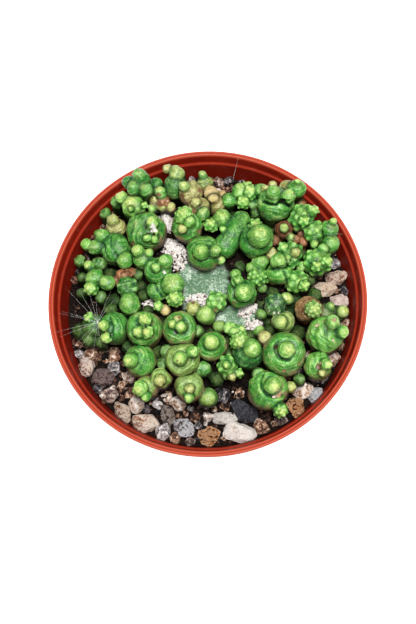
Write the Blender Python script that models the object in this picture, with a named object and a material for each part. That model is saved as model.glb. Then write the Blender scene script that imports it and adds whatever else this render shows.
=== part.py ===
"""A knobbly powder puff cactus clump in a round plastic pot.

Metres, +Z up. The pot stands on z = 0 and its axis is the z axis. +Y points away from the viewer.
Heights called "over the rim" are measured from the top of the pot.
"""

import math

import bmesh
import bpy
from mathutils import Vector
from mathutils.noise import noise

MM = 0.001
CLEARANCE = 0.35 * MM
SHORT_EDGE = 0.45 * MM

# Pot
POT_HEIGHT = 100 * MM
RIM_RADIUS = 60 * MM
COLLAR_HEIGHT = 8 * MM
COLLAR_STEP = 1.9 * MM
BASE_RADIUS = 42 * MM
WALL = 1.6 * MM
LEDGE_DEPTH = 5 * MM
LEDGE_WIDTH = 0.9 * MM
FLOOR_HEIGHT = 4 * MM
FOOT_HEIGHT = 1.8 * MM
FOOT_WIDTH = 6 * MM
POT_SEGMENTS = 48
DRAIN_HOLES = 5
DRAIN_RADIUS = 3.5 * MM
DRAIN_RING = 25 * MM
DRAIN_TURN = 30

# Soil
SOIL_LEVEL = POT_HEIGHT - 13 * MM
SOIL_RELIEF = 0.6 * MM
SOIL_GRAIN = 14 * MM
WALL_GAP = 0.3 * MM

# Old body, the low mound that every head grows on
MOUND_CENTRE = Vector((2 * MM, 6 * MM, 0))
MOUND_RADII = (46 * MM, 42 * MM)
MOUND_TOP = POT_HEIGHT - 2.4 * MM
MOUND_LIP = 0.5 * MM
MOUND_STRIP = 1.1
ROOT_RADIUS = 9 * MM
ROOT_LENGTH = 26 * MM

# Heads
CROWN_FLATNESS = 0.86
STEM_SINK = 2 * MM
KNOB_LIFT = 0.3
DIMPLE_WIDTH = 0.72
SPAN_LIMIT = 57.2 * MM

SKIN_COLOURS = {
    "green": (0.080, 0.352, 0.053),
    "deep": (0.045, 0.240, 0.050),
    "striped": (0.200, 0.260, 0.090),
    "tan": (0.420, 0.300, 0.070),
}

# Each head has its skin tone, the depth of the dimple round its first knob, and its balls of flesh.
# Bodies and knobs are (x, y, height over the rim of the centre, radius) and (x, y, radius), in mm.
HEADS = {
    "scarred_head": ("green", 1.6, [(-20, 27.5, 3, 7.6)],
                     [(-17.2, 28.2, 2.5), (-19.6, 22.8, 1.5), (-16.8, 22.2, 1.5), (-16.2, 25, 1.2)]),
    "pale_knob_head": ("green", 0, [(-4.4, 27, 4, 5.7)],
                       [(-5.1, 29.6, 2.9), (-3.3, 26.8, 2), (-6.2, 24.4, 1.5)]),
    "smooth_head": ("green", 0.8, [(0.8, 16, 3.5, 6.4)],
                    [(-0.2, 14.6, 3.2), (5, 14.5, 2.6), (6.8, 12.4, 1.7)]),
    "crescent_head": ("green", 0, [(12.6, 22.4, 4, 4.3), (16.2, 27, 3.4, 3.8), (9, 17.6, 3.4, 3.9),
                                     (9.2, 28.6, 4, 3.7)],
                      [(4.8, 26.8, 2.6), (9, 23.2, 1.5)]),
    "ringed_head": ("green", 1.8, [(20.8, 18.6, 4, 6.8)],
                    [(21.8, 17.6, 4.4), (21, 22, 2.4)]),
    "wide_head": ("green", 0, [(30, 32, 4, 6.9)],
                  [(29.4, 34.4, 2.9), (34.6, 32.4, 2.8)]),
    "back_cluster_head": ("green", 0, [(-20.5, 46.4, 4, 4.8)],
                          [(-19.4, 49, 3.7), (-22.6, 44, 3.7), (-14.9, 46.6, 3), (-25, 47.2, 2.6),
                           (-13.2, 42.4, 2.5)]),
    "bumpy_head": ("green", 0, [(-24, 38.4, 3.4, 4.7)],
                   [(-27.8, 41.6, 2.4), (-21, 34, 2), (-24.8, 35.8, 1.4), (-19.8, 37.2, 1.5)]),
    "pale_ball_head": ("striped", 0, [(-5.6, 48.4, 5.4, 3.9), (-7.2, 45, 1.6, 4.6)],
                       [(-9.4, 51, 1.7)]),
    "striped_back_head": ("striped", 0, [(-1.6, 41, 4, 4.6), (1.2, 34.4, 2.8, 4.2)],
                          [(-3.8, 42, 2), (0, 35.4, 1.9), (2.4, 30.8, 2.6)]),
    "stacked_head": ("tan", 0, [(4.2, 45, 1.4, 3.5), (6.6, 39.6, 2.6, 3.6), (7.8, 36.8, -1, 3.8)],
                     [(3.8, 48, 2), (10.8, 40.4, 1.8)]),
    "small_back_head": ("green", 0, [(17.2, 39.8, 2.6, 3), (12.8, 37.4, 0, 3.1), (25.6, 38.4, 3.4, 3)],
                        [(21, 38.2, 2.9), (18, 34.6, 2.3), (20.2, 41.4, 1.6), (26.8, 38, 1.5)]),
    "rim_head": ("green", 0, [(38.4, 37, 5.6, 3.5), (35.8, 38.6, 2.6, 3.2)],
                 [(39.2, 38.4, 1.5)]),
    "red_brown_head": ("striped", 0, [(32.2, 23.2, 1, 3.6)],
                       [(31.8, 21.8, 1.8), (34.4, 19, 1.8), (36.4, 18.2, 1.7)]),
    "lumpy_right_head": ("green", 0, [(39, 25.8, 3, 4.6), (43.2, 19.6, 2, 3.8)],
                         [(43.2, 27, 2.2), (39.4, 22.8, 1.9), (42.6, 14.8, 2.1)]),
    "edge_pair_head": ("green", 0, [(49, 19.8, 3.4, 3.3), (48.4, 14.2, 2.6, 3.4), (43, 8.6, 0.6, 4.9)],
                       [(50.2, 21.6, 1.5), (45.6, 12.4, 2.2), (41.6, 5.4, 1.8), (45.8, 6.8, 1.7)]),
    "lumpy_middle_head": ("deep", 0, [(32.6, 11.8, 1.6, 4.6)],
                          [(34.8, 11.2, 1.7), (30.4, 14, 1.6), (30.8, 9.4, 1.5)]),
    "ball_trio_head": ("green", 0, [(21.8, 10.4, 2, 3.2), (19.8, 5.2, 0.6, 3.4)],
                       [(17.4, 8.8, 2)]),
    "twin_top_head": ("green", 0, [(27.8, 5.8, 1, 4.9), (34.2, 1.4, 0.2, 4)],
                      [(28, 8.4, 2.9), (36.2, -1.2, 1.8)]),
    "pyramid_head": ("green", 0, [(13, -1, 2, 5.6)],
                     [(11.8, 6.4, 2.4), (11.8, 2.2, 2.5), (13.4, -2.6, 3.5)]),
    "small_centre_head": ("green", 0, [(3.4, -3, 1.6, 3.5), (-1.4, -7, 0.4, 3.6)],
                          [(-5.2, -4.4, 2.7)]),
    "left_round_head": ("green", 0, [(-32.6, 22.8, 1, 5.8), (-31.4, 31.2, 1, 3.9)],
                        [(-36.8, 27.6, 2.7), (-39.6, 24.2, 3), (-29, 17.2, 3.3), (-32.2, 33.2, 2)]),
    "twin_small_head": ("green", 0, [(-17.2, 11.4, 3, 5.3), (-22.6, 16.8, 3, 3.8)],
                        [(-14, 13.2, 2.6), (-17.6, 10.8, 1.8), (-23.8, 19, 2.6), (-19.6, 18, 1.8)]),
    "middle_ball_head": ("green", 0, [(-12, 4.8, 4.6, 4.1), (-18, 4, 1, 4.1)],
                         [(-11.8, -1, 2.8)]),
    "left_ball_head": ("green", 0, [(-41.4, 12.4, 1, 3.5)],
                       [(-43, 17, 2), (-36.8, 9.6, 2.9), (-42.8, 8, 2.5)]),
    "left_lumpy_head": ("deep", 0, [(-28.8, 0, 2.6, 4.1), (-29.2, 6.8, 0.6, 3.8)],
                        [(-29.4, 11.8, 1.9)]),
    "haired_head": ("green", 1.0, [(-35.6, -8.2, 1, 5.6), (-43.2, -5.6, -2.4, 4.4)],
                    [(-39, -8.2, 1.9), (-38.2, -12.6, 1.9), (-44.6, -3.4, 1.7)]),
    "bun_left_head": ("green", 1.8, [(-24.4, -10.6, 3, 6.7)],
                      [(-23.2, -8.6, 2.7), (-26, -13, 2.2), (-22.8, -13.4, 2.4)]),
    "bun_middle_head": ("green", 1.8, [(-11.2, -12.4, 3.8, 6.3)],
                        [(-10.4, -13.2, 2.4), (-13.6, -11.8, 1.6)]),
    "front_left_head": ("green", 0.8, [(-27, -21.6, 1, 5.9)],
                        [(-30.4, -22.4, 2.8)]),
    "bun_low_head": ("green", 1.6, [(-11.6, -23.6, 2, 6.3)],
                     [(-12.2, -24.4, 2.5), (-7.2, -22.4, 2.2)]),
    "bun_small_head": ("green", 1.4, [(-0.4, -20, 2.6, 5.4)],
                       [(-0.4, -19.6, 2.9)]),
    "brown_tip_head": ("green", 0.6, [(-20.2, -29, 0, 3.7), (-25.8, -31.6, -2, 4.4)],
                       [(-20.4, -30.8, 2), (-28, -32.4, 2.4), (-26.2, -35.4, 1.7)]),
    "front_middle_head": ("green", 0.6, [(-10.2, -33, -1, 5.5), (-3.8, -37.4, -3.4, 3.6)],
                          [(-10, -35, 1.6), (-10.8, -38, 2)]),
    "small_lumpy_head": ("green", 0, [(4.6, -27.4, 0, 3.7)],
                         [(8.2, -30.6, 1.8), (5.8, -31.6, 1.7), (4.2, -27.8, 1.6)]),
    "double_knob_head": ("green", 0.6, [(12.4, -24.2, 1, 5.6), (10, -19.8, 3.6, 3.4)],
                         [(14.2, -23.4, 3.3), (8.8, -15.8, 2)]),
    "largest_head": ("green", 2.4, [(25.4, -26.2, 3.6, 7.9)],
                     [(26.2, -26.2, 3)]),
    "front_right_head": ("green", 2.2, [(18, -38, 0, 7.2)],
                         [(20, -37.8, 3.2), (21.8, -45.8, 2.5), (26.4, -38.2, 1.9)]),
    "folded_head": ("deep", 0, [(41.6, -20.2, 1, 7.2)],
                    [(44, -17.8, 2.8), (47.4, -21.2, 2.5), (37.8, -19.4, 2.2)]),
    "right_low_head": ("deep", 0, [(37.2, -31, 0, 5.3)],
                       [(40, -32, 2.3), (38, -34.8, 1.5)]),
    "striped_right_head": ("striped", 0.8, [(37, -9.8, 1, 4.9), (43, -10.8, -3.4, 3.8),
                                            (48.4, -11.2, -4, 3.3)],
                           [(38, -11.6, 2.9), (45.4, -9.2, 1.8), (49.6, -11.4, 2.2)]),
    "yellowish_head": ("tan", 0, [(24.8, -6.8, 1, 4), (27, -13, -0.4, 4.1)],
                       [(29.4, -4.8, 2.3), (25.8, -14.2, 2.5)]),
}

# Each stone is (x, y, half width, half depth, half height, turn in degrees), in mm, and a colour.
STONES = {
    "left_white_stone": ((-48.6, -18, 3.2, 4.7, 3.0, -24), (0.60, 0.46, 0.36)),
    "left_brown_stone": ((-43.6, -23.4, 4.3, 4.2, 3.2, 30), (0.16, 0.10, 0.08)),
    "white_brown_stone": ((-36.4, -37.6, 3.2, 4.6, 3.0, 34), (0.55, 0.40, 0.30)),
    "cream_brown_stone": ((-28, -42.4, 5.2, 3.8, 3.2, -8), (0.62, 0.45, 0.33)),
    "grey_brown_stone": ((-20, -41.2, 2.9, 4.1, 3.0, 10), (0.20, 0.16, 0.14)),
    "speckled_stone": ((-14.6, -47, 4.4, 4.6, 3.4, 20), (0.45, 0.42, 0.42)),
    "porous_stone": ((-5, -50.4, 4.2, 3.7, 3.0, 0), (0.42, 0.20, 0.09)),
    "long_cream_stone": ((0.8, -44.6, 5.1, 2.6, 2.8, -6), (0.66, 0.56, 0.45)),
    "big_cream_stone": ((6, -50.4, 6.1, 3.9, 3.6, -10), (0.66, 0.55, 0.44)),
    "charcoal_stone": ((9, -42.6, 5.4, 4.3, 3.2, -30), (0.05, 0.05, 0.06)),
    "fibrous_stone": ((28, -43.6, 3.9, 4.4, 3.2, -20), (0.40, 0.17, 0.06)),
    "white_grey_stone": ((36, -39.8, 3.3, 3.7, 3.0, 20), (0.58, 0.54, 0.52)),
    "right_tan_stone": ((51, 5, 4.8, 3.5, 3.6, 10), (0.60, 0.42, 0.30)),
    "right_cream_stone": ((45, 0.2, 5.0, 3.6, 3.4, 10), (0.62, 0.46, 0.34)),
    "right_pink_stone": ((50.6, -4.6, 3.7, 3.1, 3.0, 0), (0.62, 0.50, 0.46)),
}
STONE_SINK = 0.45

STONE_DENTS = 0.16

# Gravel fused to the soil, as (x, y, radius) in mm.
GRAVEL = (
    (-50.4, -9, 2.8), (-45.4, -14.6, 3.2), (-40, -18.6, 2.2), (-38.2, -26.6, 2.6), (-31, -36, 2.8),
    (-22.6, -48.4, 2.6), (-41.8, -31.2, 3.0), (1.6, -39.6, 2.2), (14.6, -50.4, 2.6), (23, -49.4, 2.2),
    (31.4, -37.2, 3.0), (43.4, -33, 2.6), (48.4, -24.6, 2.4), (51.4, 11.4, 2.2),
    (-51.6, 1.4, 2.0), (-50.2, 14.4, 2.0), (9.6, 53, 1.8), (26, 47.6, 1.9),
)
GRAVEL_SHAPE = (1, 0.85, 0.8)
GRAVEL_TURN = 37


def clear_scene():
    for obj in list(bpy.data.objects):
        bpy.data.objects.remove(obj, do_unlink=True)


def surface(name, colour, roughness):
    """A plain material in one colour."""
    material = bpy.data.materials.new(name)
    material.use_nodes = True
    shader = material.node_tree.nodes["Principled BSDF"]
    shader.inputs["Base Color"].default_value = (*colour, 1)
    shader.inputs["Roughness"].default_value = roughness
    shader.inputs["Metallic"].default_value = 0
    return material


def add_object(name, bm, origin=Vector((0, 0, 0)), material=None):
    """Makes an object of a bmesh that is in world positions, with its origin where asked."""
    bmesh.ops.translate(bm, verts=bm.verts, vec=-origin)
    bmesh.ops.recalc_face_normals(bm, faces=bm.faces)
    if bm.calc_volume(signed=True) < 0:
        bmesh.ops.reverse_faces(bm, faces=bm.faces)
    mesh = bpy.data.meshes.new(name)
    bm.to_mesh(mesh)
    bm.free()
    obj = bpy.data.objects.new(name, mesh)
    obj.location = origin
    bpy.context.scene.collection.objects.link(obj)
    if material:
        mesh.materials.append(material)
    return obj


def shade(obj, angle):
    obj.data.shade_smooth()
    obj.data.set_sharp_from_angle(angle=math.radians(angle))


def apply_modifiers(obj):
    """Bakes the modifiers into the mesh."""
    graph = bpy.context.evaluated_depsgraph_get()
    mesh = bpy.data.meshes.new_from_object(obj.evaluated_get(graph))
    obj.modifiers.clear()
    obj.data = mesh


def join_pieces(obj, pieces):
    """Fuses the pieces to the object as one body and removes them."""
    group = bpy.data.collections.new(obj.name + "_pieces")
    for piece in pieces:
        bpy.context.scene.collection.objects.unlink(piece)
        group.objects.link(piece)
    union = obj.modifiers.new("Union", "BOOLEAN")
    union.operation = "UNION"
    union.operand_type = "COLLECTION"
    union.solver = "MANIFOLD"
    union.collection = group
    apply_modifiers(obj)
    for piece in pieces:
        bpy.data.objects.remove(piece, do_unlink=True)
    bpy.data.collections.remove(group)


def turned(profile, segments):
    """A closed body turned round the z axis from a list of (radius, z), with radius 0 at both ends."""
    bm = bmesh.new()
    rings = []
    for radius, z in profile:
        if radius == 0:
            rings.append([bm.verts.new((0, 0, z))])
            continue
        angles = [2 * math.pi * step / segments for step in range(segments)]
        rings.append([bm.verts.new((radius * math.cos(a), radius * math.sin(a), z)) for a in angles])
    for lower, upper in zip(rings, rings[1:]):
        for step in range(segments):
            after = (step + 1) % segments
            corners = [lower[step % len(lower)], lower[after % len(lower)],
                       upper[after % len(upper)], upper[step % len(upper)]]
            bm.faces.new(list(dict.fromkeys(corners)))
    return bm


def inner_radius(z):
    """The pot's inside radius at a height, below its ledge."""
    share = (POT_HEIGHT - LEDGE_DEPTH - z) / (POT_HEIGHT - LEDGE_DEPTH - FLOOR_HEIGHT)
    top = RIM_RADIUS - COLLAR_STEP - WALL - WALL_GAP
    return top + share * (BASE_RADIUS - WALL - top)


def pot_profile():
    """The pot's section, from the middle of the underside, up the outside, and down to the floor's middle."""
    body_top = RIM_RADIUS - COLLAR_STEP
    collar_foot = POT_HEIGHT - COLLAR_HEIGHT
    floor = FLOOR_HEIGHT
    ledge = POT_HEIGHT - LEDGE_DEPTH
    return [
        (0, FOOT_HEIGHT),
        (BASE_RADIUS - FOOT_WIDTH, FOOT_HEIGHT),
        (BASE_RADIUS - FOOT_WIDTH + 0.4 * MM, 0),
        (BASE_RADIUS - 0.8 * MM, 0),
        (BASE_RADIUS, 0.8 * MM),
        (body_top, collar_foot - 0.6 * MM),
        (RIM_RADIUS - 0.9 * MM, collar_foot),
        (RIM_RADIUS, POT_HEIGHT - 1.3 * MM),
        (RIM_RADIUS - 0.4 * MM, POT_HEIGHT - 0.3 * MM),
        (RIM_RADIUS - 1.1 * MM, POT_HEIGHT),
        (RIM_RADIUS - 1.8 * MM, POT_HEIGHT - 0.3 * MM),
        (RIM_RADIUS - 2.4 * MM, POT_HEIGHT - 1.3 * MM),
        (inner_radius(ledge) + LEDGE_WIDTH, ledge + 0.7 * MM),
        (inner_radius(ledge), ledge),
        (inner_radius(floor + 2 * MM), floor + 2 * MM),
        (inner_radius(floor) - 2 * MM, floor),
        (0, floor),
    ]


def build_pot():
    pot = add_object("pot", turned(pot_profile(), POT_SEGMENTS),
                     material=surface("terracotta_plastic", (0.58, 0.10, 0.05), 0.42))
    drills = []
    for hole in range(DRAIN_HOLES):
        angle = math.radians(360 * hole / DRAIN_HOLES + DRAIN_TURN)
        drill = bmesh.new()
        bmesh.ops.create_cone(drill, cap_ends=True, segments=10, radius1=DRAIN_RADIUS,
                              radius2=DRAIN_RADIUS, depth=4 * FLOOR_HEIGHT)
        spot = Vector((DRAIN_RING * math.cos(angle), DRAIN_RING * math.sin(angle), FLOOR_HEIGHT))
        bmesh.ops.translate(drill, verts=drill.verts, vec=spot)
        drills.append(drill)
    for number, drill in enumerate(drills):
        cutter = add_object(f"drain_cutter_{number}", drill)
        cut = pot.modifiers.new("Drain", "BOOLEAN")
        cut.operation = "DIFFERENCE"
        cut.object = cutter
        apply_modifiers(pot)
        bpy.data.objects.remove(cutter, do_unlink=True)
    shade(pot, 35)


def mound_reach(x, y):
    """How far out a point is from the mound's middle, where 1 is its edge."""
    return math.hypot((x - MOUND_CENTRE.x) / MOUND_RADII[0], (y - MOUND_CENTRE.y) / MOUND_RADII[1])


def soil_height(x, y):
    """The soil is level under the plant and dips gently outside it."""
    dip = SOIL_RELIEF * (0.5 + 0.5 * noise(Vector((x, y, 0)) / SOIL_GRAIN))
    return SOIL_LEVEL - dip * min(1, max(0, 6 * (mound_reach(x, y) - 1)))


def mound_height(x, y):
    """The old body's top, a shallow dome over a low lip."""
    foot = SOIL_LEVEL + CLEARANCE + MOUND_LIP
    return foot + (MOUND_TOP - foot) * max(0, 1 - mound_reach(x, y) ** 2)


def support_height(x, y):
    """What a head or a stone rests on: the mound and a narrow strip round it, or else the soil."""
    return mound_height(x, y) if mound_reach(x, y) < MOUND_STRIP else soil_height(x, y)


def build_soil(stones):
    level = SOIL_LEVEL
    floor = FLOOR_HEIGHT + WALL_GAP
    edge = inner_radius(level) - WALL_GAP
    tops = [ROOT_RADIUS + CLEARANCE, 30 * MM, 45 * MM, edge]
    profile = [(0, floor), (inner_radius(floor) - 2.4 * MM, floor)]
    profile.append((inner_radius(floor + 2 * MM) - WALL_GAP, floor + 2 * MM))
    profile += [(radius, level) for radius in reversed(tops)]
    profile.append((ROOT_RADIUS + CLEARANCE, level - ROOT_LENGTH))
    profile.append((0, level - ROOT_LENGTH))
    bm = turned(profile, POT_SEGMENTS)
    for vert in bm.verts:
        if abs(vert.co.z - level) < 0.01 * MM:
            vert.co.z = soil_height(vert.co.x, vert.co.y)
    soil = add_object("soil", bm, material=surface("potting_soil", (0.030, 0.018, 0.012), 0.95))
    join_pieces(soil, [add_object(f"gravel_{number}", stone) for number, stone in enumerate(stones)])
    shade(soil, 30)


def build_mound():
    """The old body that the heads grow on, with its root neck in the soil's hole."""
    foot = SOIL_LEVEL + CLEARANCE
    rings = (1, 0.86, 0.66, 0.42, 0.2)
    profile = [(0, foot), (0.985, foot)] + [(ring, foot + MOUND_LIP) for ring in rings]
    bm = turned(profile + [(0, foot + MOUND_LIP)], 28)
    for vert in bm.verts:
        vert.co.x = MOUND_CENTRE.x + vert.co.x * MOUND_RADII[0]
        vert.co.y = MOUND_CENTRE.y + vert.co.y * MOUND_RADII[1]
        if vert.co.z > foot + MOUND_LIP / 2:
            vert.co.z = mound_height(vert.co.x, vert.co.y)
    neck = bmesh.new()
    bmesh.ops.create_cone(neck, cap_ends=True, segments=16, radius1=0.6 * ROOT_RADIUS, radius2=ROOT_RADIUS,
                          depth=ROOT_LENGTH)
    bmesh.ops.translate(neck, verts=neck.verts, vec=(0, 0, foot + MM - ROOT_LENGTH / 2))
    mound = add_object("old_body", bm, material=surface("frosted_skin", (0.20, 0.35, 0.22), 0.6))
    join_pieces(mound, [add_object("root_neck", neck)])
    shade(mound, 60)


def facets(radius):
    """How many meridians and rings a ball of flesh gets for its size."""
    for limit, meridians, rings in ((1.9, 5, 4), (2.9, 6, 4), (3.6, 7, 4), (5.2, 8, 5), (6.6, 10, 6)):
        if radius < limit * MM:
            return meridians, rings
    return 12, 7


class Ball:
    """One rounded lump of flesh or stone, before it is cut clear of its neighbours.

    Its facets lie half inside and half outside the true ball, so that few of them keep its size.
    """

    def __init__(self, owner, centre, radius, is_body):
        self.owner = owner
        self.centre = centre
        self.radius = radius
        self.is_body = is_body
        meridians, rings = facets(radius)
        self.bm = bmesh.new()
        between = radius / math.sqrt(math.cos(math.pi / meridians))
        bmesh.ops.create_uvsphere(self.bm, u_segments=meridians, v_segments=rings, radius=between)

    def points(self):
        return [vert.co for vert in self.bm.verts]

    def cut(self, point, outward):
        """Takes away what lies beyond a plane and closes the cut."""
        geometry = self.bm.verts[:] + self.bm.edges[:] + self.bm.faces[:]
        bmesh.ops.bisect_plane(self.bm, geom=geometry, plane_co=point, plane_no=outward, clear_outer=True)
        open_edges = [edge for edge in self.bm.edges if edge.is_boundary]
        if open_edges:
            bmesh.ops.holes_fill(self.bm, edges=open_edges)

    def tidy(self):
        """Merges the short edges that cuts leave."""
        bmesh.ops.remove_doubles(self.bm, verts=self.bm.verts, dist=SHORT_EDGE)
        bmesh.ops.dissolve_limit(self.bm, angle_limit=math.radians(2), verts=self.bm.verts,
                                 edges=self.bm.edges)


def body_ball(owner, x, y, z, radius):
    """A head's main ball: flattened on top, and drawn down to what it grows on."""
    centre = Vector((x, y, z + POT_HEIGHT / MM)) * MM
    ball = Ball(owner, centre, radius * MM, True)
    stem = max(0.7 * ball.radius, centre.z - support_height(centre.x, centre.y) + STEM_SINK)
    for vert in ball.bm.verts:
        vert.co.z *= CROWN_FLATNESS if vert.co.z > 0 else stem / ball.radius
    bmesh.ops.translate(ball.bm, verts=ball.bm.verts, vec=centre)
    return ball


def press_dimple(ball, x, y, depth):
    """Sinks the top of a body round a point, so that a ring is left standing."""
    reach = DIMPLE_WIDTH * ball.radius
    for vert in ball.bm.verts:
        away = math.hypot(vert.co.x - x * MM, vert.co.y - y * MM) / reach
        if vert.co.z > ball.centre.z and away < 1:
            vert.co.z -= depth * MM * (1 - away * away)


def knob_ball(owner, bodies, x, y, radius, depth):
    """A knob that stands out of the nearest body."""
    spot = Vector((x, y)) * MM
    body = min(bodies, key=lambda ball: (ball.centre.to_2d() - spot).length - ball.radius)
    reach = body.radius + KNOB_LIFT * radius * MM
    aside = (body.centre.to_2d() - spot).length
    rise = math.sqrt(max(0, reach * reach - aside * aside)) * CROWN_FLATNESS
    near = max(0, 1 - (aside / (DIMPLE_WIDTH * body.radius)) ** 2)
    centre = Vector((*spot, body.centre.z + rise - 0.8 * depth * MM * near))
    ball = Ball(owner, centre, radius * MM, False)
    bmesh.ops.translate(ball.bm, verts=ball.bm.verts, vec=centre)
    return ball


def head_balls(name):
    _, depth, bodies, knobs = HEADS[name]
    balls = [body_ball(name, *numbers) for numbers in bodies]
    first = knobs[0]
    if depth:
        press_dimple(balls[0], first[0], first[1], depth)
    return balls + [knob_ball(name, balls[:len(bodies)], *numbers, depth) for numbers in knobs]


def rough_stone(owner, x, y, half, turn, fineness=2):
    """A worn stone: a ball stretched to its half sizes, turned, and dented by noise."""
    centre = Vector((x * MM, y * MM, 0))
    centre.z = soil_height(centre.x, centre.y) + STONE_SINK * half[2] * MM
    ball = Ball(owner, centre, max(half) * MM, False)
    ball.bm.clear()
    bmesh.ops.create_icosphere(ball.bm, subdivisions=fineness, radius=1)
    angle = math.radians(turn)
    for vert in ball.bm.verts:
        dent = 1 + STONE_DENTS * noise(vert.co * 1.3 + Vector((x, y, 0)))
        wide, deep, tall = (vert.co[axis] * half[axis] * dent * MM for axis in range(3))
        vert.co = Vector((wide * math.cos(angle) - deep * math.sin(angle),
                          wide * math.sin(angle) + deep * math.cos(angle), tall)) + centre
    return ball


def best_plane(first, second):
    """The direction that parts two balls best, and where the first ends and the second starts on it."""
    apart = second.centre - first.centre
    level = Vector((apart.x, apart.y, 0))
    best = None
    for direction in (apart, level, apart + level * 0.5):
        if direction.length == 0:
            continue
        way = direction.normalized()
        ends = max(point.dot(way) for point in first.points())
        starts = min(point.dot(way) for point in second.points())
        if best is None or ends - starts < best[1] - best[2]:
            best = (way, ends, starts)
    return best


def part_balls(balls):
    """Cuts balls of different owners clear of each other, half from each, along flat contacts."""
    for place, first in enumerate(balls):
        for second in balls[place + 1:]:
            if first.owner == second.owner:
                continue
            reach = (first.radius + second.radius) * 1.5
            if (first.centre - second.centre).to_2d().length > reach:
                continue
            way, ends, starts = best_plane(first, second)
            if ends + CLEARANCE < starts:
                continue
            middle = (ends + starts) / 2
            first.cut(way * (middle - CLEARANCE / 2), way)
            second.cut(way * (middle + CLEARANCE / 2), -way)


def fit_in_pot(balls):
    """Keeps every ball inside the pot's wall and on top of what it rests on."""
    for ball in balls:
        for vert in ball.bm.verts:
            point = vert.co
            limit = SPAN_LIMIT
            if point.z < POT_HEIGHT - LEDGE_DEPTH + 0.8 * MM:
                limit = inner_radius(min(point.z, POT_HEIGHT - LEDGE_DEPTH)) - CLEARANCE
            aside = point.to_2d().length
            if aside > limit:
                point.x *= limit / aside
                point.y *= limit / aside


def rest_on(balls, height):
    for ball in balls:
        for vert in ball.bm.verts:
            vert.co.z = max(vert.co.z, height(vert.co.x, vert.co.y) + CLEARANCE)


def build_head(name, balls):
    material = surface(name + "_skin", SKIN_COLOURS[HEADS[name][0]], 0.38)
    pieces = [add_object(f"{name}_piece_{number}", ball.bm, ball.centre)
              for number, ball in enumerate(balls)]
    head = pieces[0]
    head.name = name
    head.data.materials.append(material)
    join_pieces(head, pieces[1:])
    shade(head, 50)


def build_stone(name, ball):
    stone = add_object(name, ball.bm, ball.centre, surface(name + "_rock", STONES[name][1], 0.85))
    shade(stone, 25)


def main():
    clear_scene()
    heads = {name: head_balls(name) for name in HEADS}
    stones = {name: rough_stone(name, row[0], row[1], row[2:5], row[5]) for name, (row, _) in STONES.items()}
    gravel = [rough_stone("soil", x, y, [radius * share for share in GRAVEL_SHAPE], GRAVEL_TURN * number, 1)
              for number, (x, y, radius) in enumerate(GRAVEL)]
    flesh = [ball for balls in heads.values() for ball in balls]
    fit_in_pot(flesh + list(stones.values()) + gravel)
    part_balls(flesh + list(stones.values()) + gravel)
    for ball in flesh:
        ball.tidy()
    rest_on(flesh, support_height)
    rest_on(stones.values(), support_height)
    build_pot()
    build_soil([ball.bm for ball in gravel])
    build_mound()
    for name, balls in heads.items():
        build_head(name, balls)
    for name, ball in stones.items():
        build_stone(name, ball)


main()
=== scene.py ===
"""Looks of a knobbly powder puff cactus clump in a round plastic pot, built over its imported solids.

Metres, +Z up, pot standing on z = 0. The plan tables are in millimetres, with heights over the rim.
"""

import itertools
import math
from collections import namedtuple

import bmesh
import bpy
import numpy as np
from bpy.props import FloatProperty, FloatVectorProperty, IntProperty, PointerProperty
from mathutils import Matrix, Vector, noise


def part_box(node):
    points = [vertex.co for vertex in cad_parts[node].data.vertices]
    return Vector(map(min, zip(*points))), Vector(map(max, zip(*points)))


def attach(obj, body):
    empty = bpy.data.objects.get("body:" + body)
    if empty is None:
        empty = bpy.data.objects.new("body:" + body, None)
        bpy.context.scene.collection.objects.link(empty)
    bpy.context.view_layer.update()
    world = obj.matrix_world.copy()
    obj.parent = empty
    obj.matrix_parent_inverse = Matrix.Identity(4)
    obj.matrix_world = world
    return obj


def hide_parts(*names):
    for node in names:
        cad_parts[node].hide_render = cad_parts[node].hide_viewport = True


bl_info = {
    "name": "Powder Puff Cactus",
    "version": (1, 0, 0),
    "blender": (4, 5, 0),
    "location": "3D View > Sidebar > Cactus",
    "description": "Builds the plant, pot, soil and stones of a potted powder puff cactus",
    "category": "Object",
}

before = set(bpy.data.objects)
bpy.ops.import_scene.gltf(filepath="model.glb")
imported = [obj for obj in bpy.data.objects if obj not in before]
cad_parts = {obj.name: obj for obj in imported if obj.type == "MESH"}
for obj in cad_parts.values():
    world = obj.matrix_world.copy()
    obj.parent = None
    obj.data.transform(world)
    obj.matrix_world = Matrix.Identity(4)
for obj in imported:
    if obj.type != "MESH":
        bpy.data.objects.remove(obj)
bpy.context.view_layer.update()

MM = 0.001
POT_LOW, POT_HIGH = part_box("pot")
RIM = POT_HIGH.z
RIM_RADIUS = POT_HIGH.x

# Places that the solids settle
BASE_RADIUS = 42 * MM
COLLAR_HEIGHT = 8 * MM
COLLAR_STEP = 1.9 * MM
WALL = 1.6 * MM
WALL_GAP = 0.3 * MM
LEDGE_DEPTH = 5 * MM
LEDGE_WIDTH = 0.9 * MM
FLOOR_HEIGHT = 4 * MM
FOOT_HEIGHT = 1.8 * MM
FOOT_WIDTH = 6 * MM
DRAIN_HOLES = 5
DRAIN_RADIUS = 3.5 * MM
DRAIN_RING = 25 * MM
DRAIN_TURN = 30
SOIL_LEVEL = RIM - 13 * MM
MOUND_CENTRE = (2 * MM, 6 * MM)
MOUND_RADII = (46 * MM, 42 * MM)
MOUND_TOP = RIM - 2.4 * MM
MOUND_LIP = 0.85 * MM
MOUND_STRIP = 1.1
CROWN_FLATNESS = 0.86
STEM_SINK = 2 * MM
KNOB_LIFT = 0.3
DIMPLE_WIDTH = 0.72
STONE_SINK = 0.45
STONE_DENTS = 0.16

# Where frosted old skin shows between the heads, as (x, y, half width, half depth) in mm
FROSTED_PLACES = ((-0.4, 5.5, 9.5, 13), (10.8, -7.6, 8, 4.2))

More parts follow.
